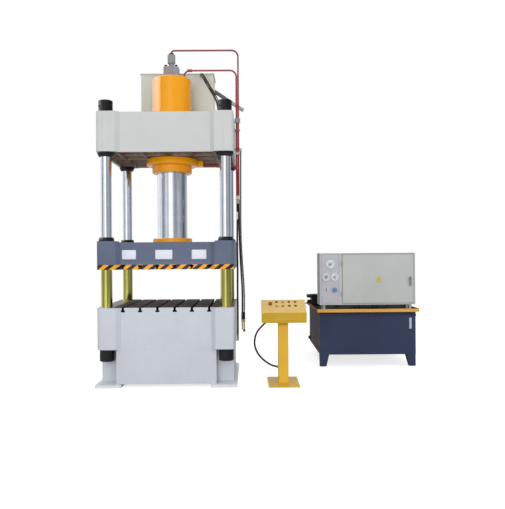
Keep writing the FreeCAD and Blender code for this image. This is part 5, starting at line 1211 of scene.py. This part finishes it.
def covers():
    """Screws of the top tank's lid and of the console, the cabinet's rear cover, a drain plug."""
    spots = []
    for k in range(7):
        x = -0.430 + 0.930 * k / 6
        spots += [((x, y, TOP_TANK_LID), (0, 0, 1)) for y in (0.300, 0.700)]
    for k in range(1, 3):
        y = 0.300 + 0.400 * k / 3
        spots += [((x, y, TOP_TANK_LID), (0, 0, 1)) for x in (-0.440, 0.510)]
    fasteners("top_tank_lid_bolts", "hex", spots, 0.013)

    front, run, low, rise = -0.655, 0.280, 0.853, 0.132
    slope = math.atan2(rise, run)
    normal = (0, -math.sin(slope), math.cos(slope))
    spots = [((x, front + run * share, low + rise * share), normal)
             for x in (1.124, 1.618) for share in (0.06, 0.94)]
    fasteners("console_screws", "dome", spots, 0.010)

    bm = bmesh.new()
    add_slab(bm, (1.974, 0.8458, 0.880), (3.174, CABINET_REAR, 1.498), 0.0006)
    piece("cabinet_rear_cover", bm, "cabinet", "cabinet_paint")
    left, right, low, high = 1.992, 3.156, 0.897, 1.481
    spots = [((left + (right - left) * k / 6, CABINET_REAR, z), (0, 1, 0))
             for k in range(7) for z in (low, high)]
    spots += [((x, CABINET_REAR, low + (high - low) * k / 3), (0, 1, 0))
              for k in (1, 2) for x in (left, right)]
    fasteners("rear_cover_screws", "dome", spots, 0.009)
    fasteners("tank_drain_plug", "hex", [((TANK[0], 1.850, 0.222), (-1, 0, 0))], 0.045,
              finish="black", slot="black_steel")


slider_plates()
welds()
column_hardware()
gauge_faces()
cabinet_details()
pipe_brackets()
covers()
slim_rotor()
low_valve()


# ============================================================ light, floor and camera
# Stops of the world's colour ramps, as (direction, brightness) pairs.
# Directions 0 and 1 lie behind the camera, 0.25 at the left and 0.75 at the right.
ROOM_STOPS = (
    (0.00, 1.25), (0.032, 1.25), (0.054, 0.95), (0.077, 0.52), (0.105, 0.74), (0.124, 0.76),
    (0.150, 0.40), (0.185, 0.28), (0.205, 0.33), (0.229, 0.60), (0.256, 0.84), (0.290, 0.70),
    (0.330, 0.94), (0.380, 0.90), (0.500, 0.75), (0.620, 0.49), (0.670, 0.24), (0.710, 0.18),
    (0.750, 0.22), (0.800, 0.38), (0.830, 0.44), (0.880, 0.38), (0.923, 0.33), (0.946, 0.40),
    (0.968, 0.70), (0.990, 1.12), (1.000, 1.25))
# A long softbox high at the left, which glossy paint on tall round parts mirrors.
BOX_STOPS = ((0.0, 0.0), (0.165, 0.0), (0.19, 1.0), (0.27, 0.9), (0.30, 0.5), (0.36, 0.14),
             (0.46, 0.0))
# What lights the object: the left side of the room is dim, the front is bright.
SOFT_STOPS = ((0.0, 0.95), (0.10, 0.60), (0.19, 0.16), (0.31, 0.14), (0.42, 0.45),
              (0.60, 0.60), (0.75, 0.75), (0.88, 0.90), (1.0, 0.95))
ROOM_POWER, BOX_POWER, SOFT_POWER = 1.16, 8.0, 0.97


def grey(level):
    return (level, level, level, 1.0)


def cool_grey(level):
    """Grey that turns bluish as it gets darker."""
    warmth = min(level, 1.0)
    return (level * (0.74 + 0.26 * warmth), level * (0.83 + 0.17 * warmth), level, 1.0)


def studio():
    """World: mirrors see a room, other rays soft light, and the camera plain white."""
    world = bpy.data.worlds.new("studio")
    bpy.context.scene.world = world
    world.use_nodes = True
    world.node_tree.nodes.clear()
    w = Nodes(world.node_tree, "Generated")

    def shader(kind, *inputs):
        return w.add("ShaderNode" + kind, dict(enumerate(inputs))).outputs[0]

    direction = w.math("MULTIPLY_ADD", w.math("ARCTAN2", w.axis("X"), w.axis("Y")), 1 / TAU, 0.5)
    height = w.axis("Z")
    room = shader("Background", w.stops(direction, ROOM_STOPS, cool_grey), ROOM_POWER)
    box = shader("Background", w.stops(direction, BOX_STOPS, grey),
                 w.times(w.ramp(height, 0.20, 0.23), BOX_POWER))
    sky = w.mix(w.ramp(height, 0.35, 0.80), w.stops(direction, SOFT_STOPS, grey), "#FFFFFF")
    rays = w.add("ShaderNodeLightPath").outputs
    lit = shader("MixShader", rays["Is Glossy Ray"], shader("Background", sky, SOFT_POWER),
                 shader("AddShader", room, box))
    seen = w.math("MAXIMUM", rays["Is Camera Ray"], rays["Is Transmission Ray"])
    final = shader("MixShader", seen, lit, shader("Background", "#FFFFFF", 1.0))
    w.add("ShaderNodeOutputWorld", {0: final})


def area_light(name, place, target, size, power):
    data = bpy.data.lights.new(name, "AREA")
    data.shape = "RECTANGLE"
    data.size, data.size_y = size
    data.energy = power
    obj = in_scene(name, data)
    obj.visible_glossy = False
    obj.location = place
    obj.rotation_euler = (Vector(target) - Vector(place)).to_track_quat("-Z", "Y").to_euler()


def floor():
    """White ground, dimmer in mirrors than in the camera's view."""
    bm = bmesh.new()
    bmesh.ops.create_grid(bm, x_segments=1, y_segments=1, size=9.0)
    obj = in_scene("studio_floor", to_mesh("studio_floor", bm))
    s = Shader("studio_floor_white")
    rays = s.add("ShaderNodeLightPath").outputs
    seen = s.math("MAXIMUM", rays["Is Camera Ray"], rays["Is Transmission Ray"])
    mirrored = s.times(rays["Is Glossy Ray"], 0.22)
    obj.data.materials.append(s.set(
        color=s.clouds("#C4C4C4", "#C0C0C0", (0.4, 3), 0.3, 0.7), rough=0.9, specular=0.0,
        glow="#FFFFFF", glow_power=s.math("MAXIMUM", s.times(seen, 0.74), mirrored)))
    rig.stage(obj)


def camera():
    """The photograph's camera, from a fit to its edges."""
    pan, roll = math.radians(-0.281), math.radians(-0.394)
    data = bpy.data.cameras.new("camera")
    data.lens = 42.52
    data.sensor_width = 36.0
    data.clip_end = 200.0
    obj = in_scene("camera", data)
    turn = (Matrix.Rotation(pan, 4, "Z") @ Matrix.Rotation(math.pi / 2, 4, "X")
            @ Matrix.Rotation(roll, 4, "Z"))
    obj.matrix_world = Matrix.Translation((0.9726, -7.6243, 1.5304)) @ turn
    bpy.context.scene.camera = obj


studio()
floor()
camera()
area_light("key_softbox", (-1.5, -10.8, 2.3), (0.7, 0, 1.7), (4.2, 3.4), 335)
area_light("fill_softbox", (5.0, -9.5, 2.2), (1.8, 0, 1.2), (3.4, 2.8), 120)
bpy.context.scene.view_settings.view_transform = "Standard"

looks_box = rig.bounds()
with open("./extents.json", "w") as out_file:
    json.dump({"cad": [list(map(float, c)) for c in cad_box],
               "looks": [list(map(float, c)) for c in looks_box]}, out_file)
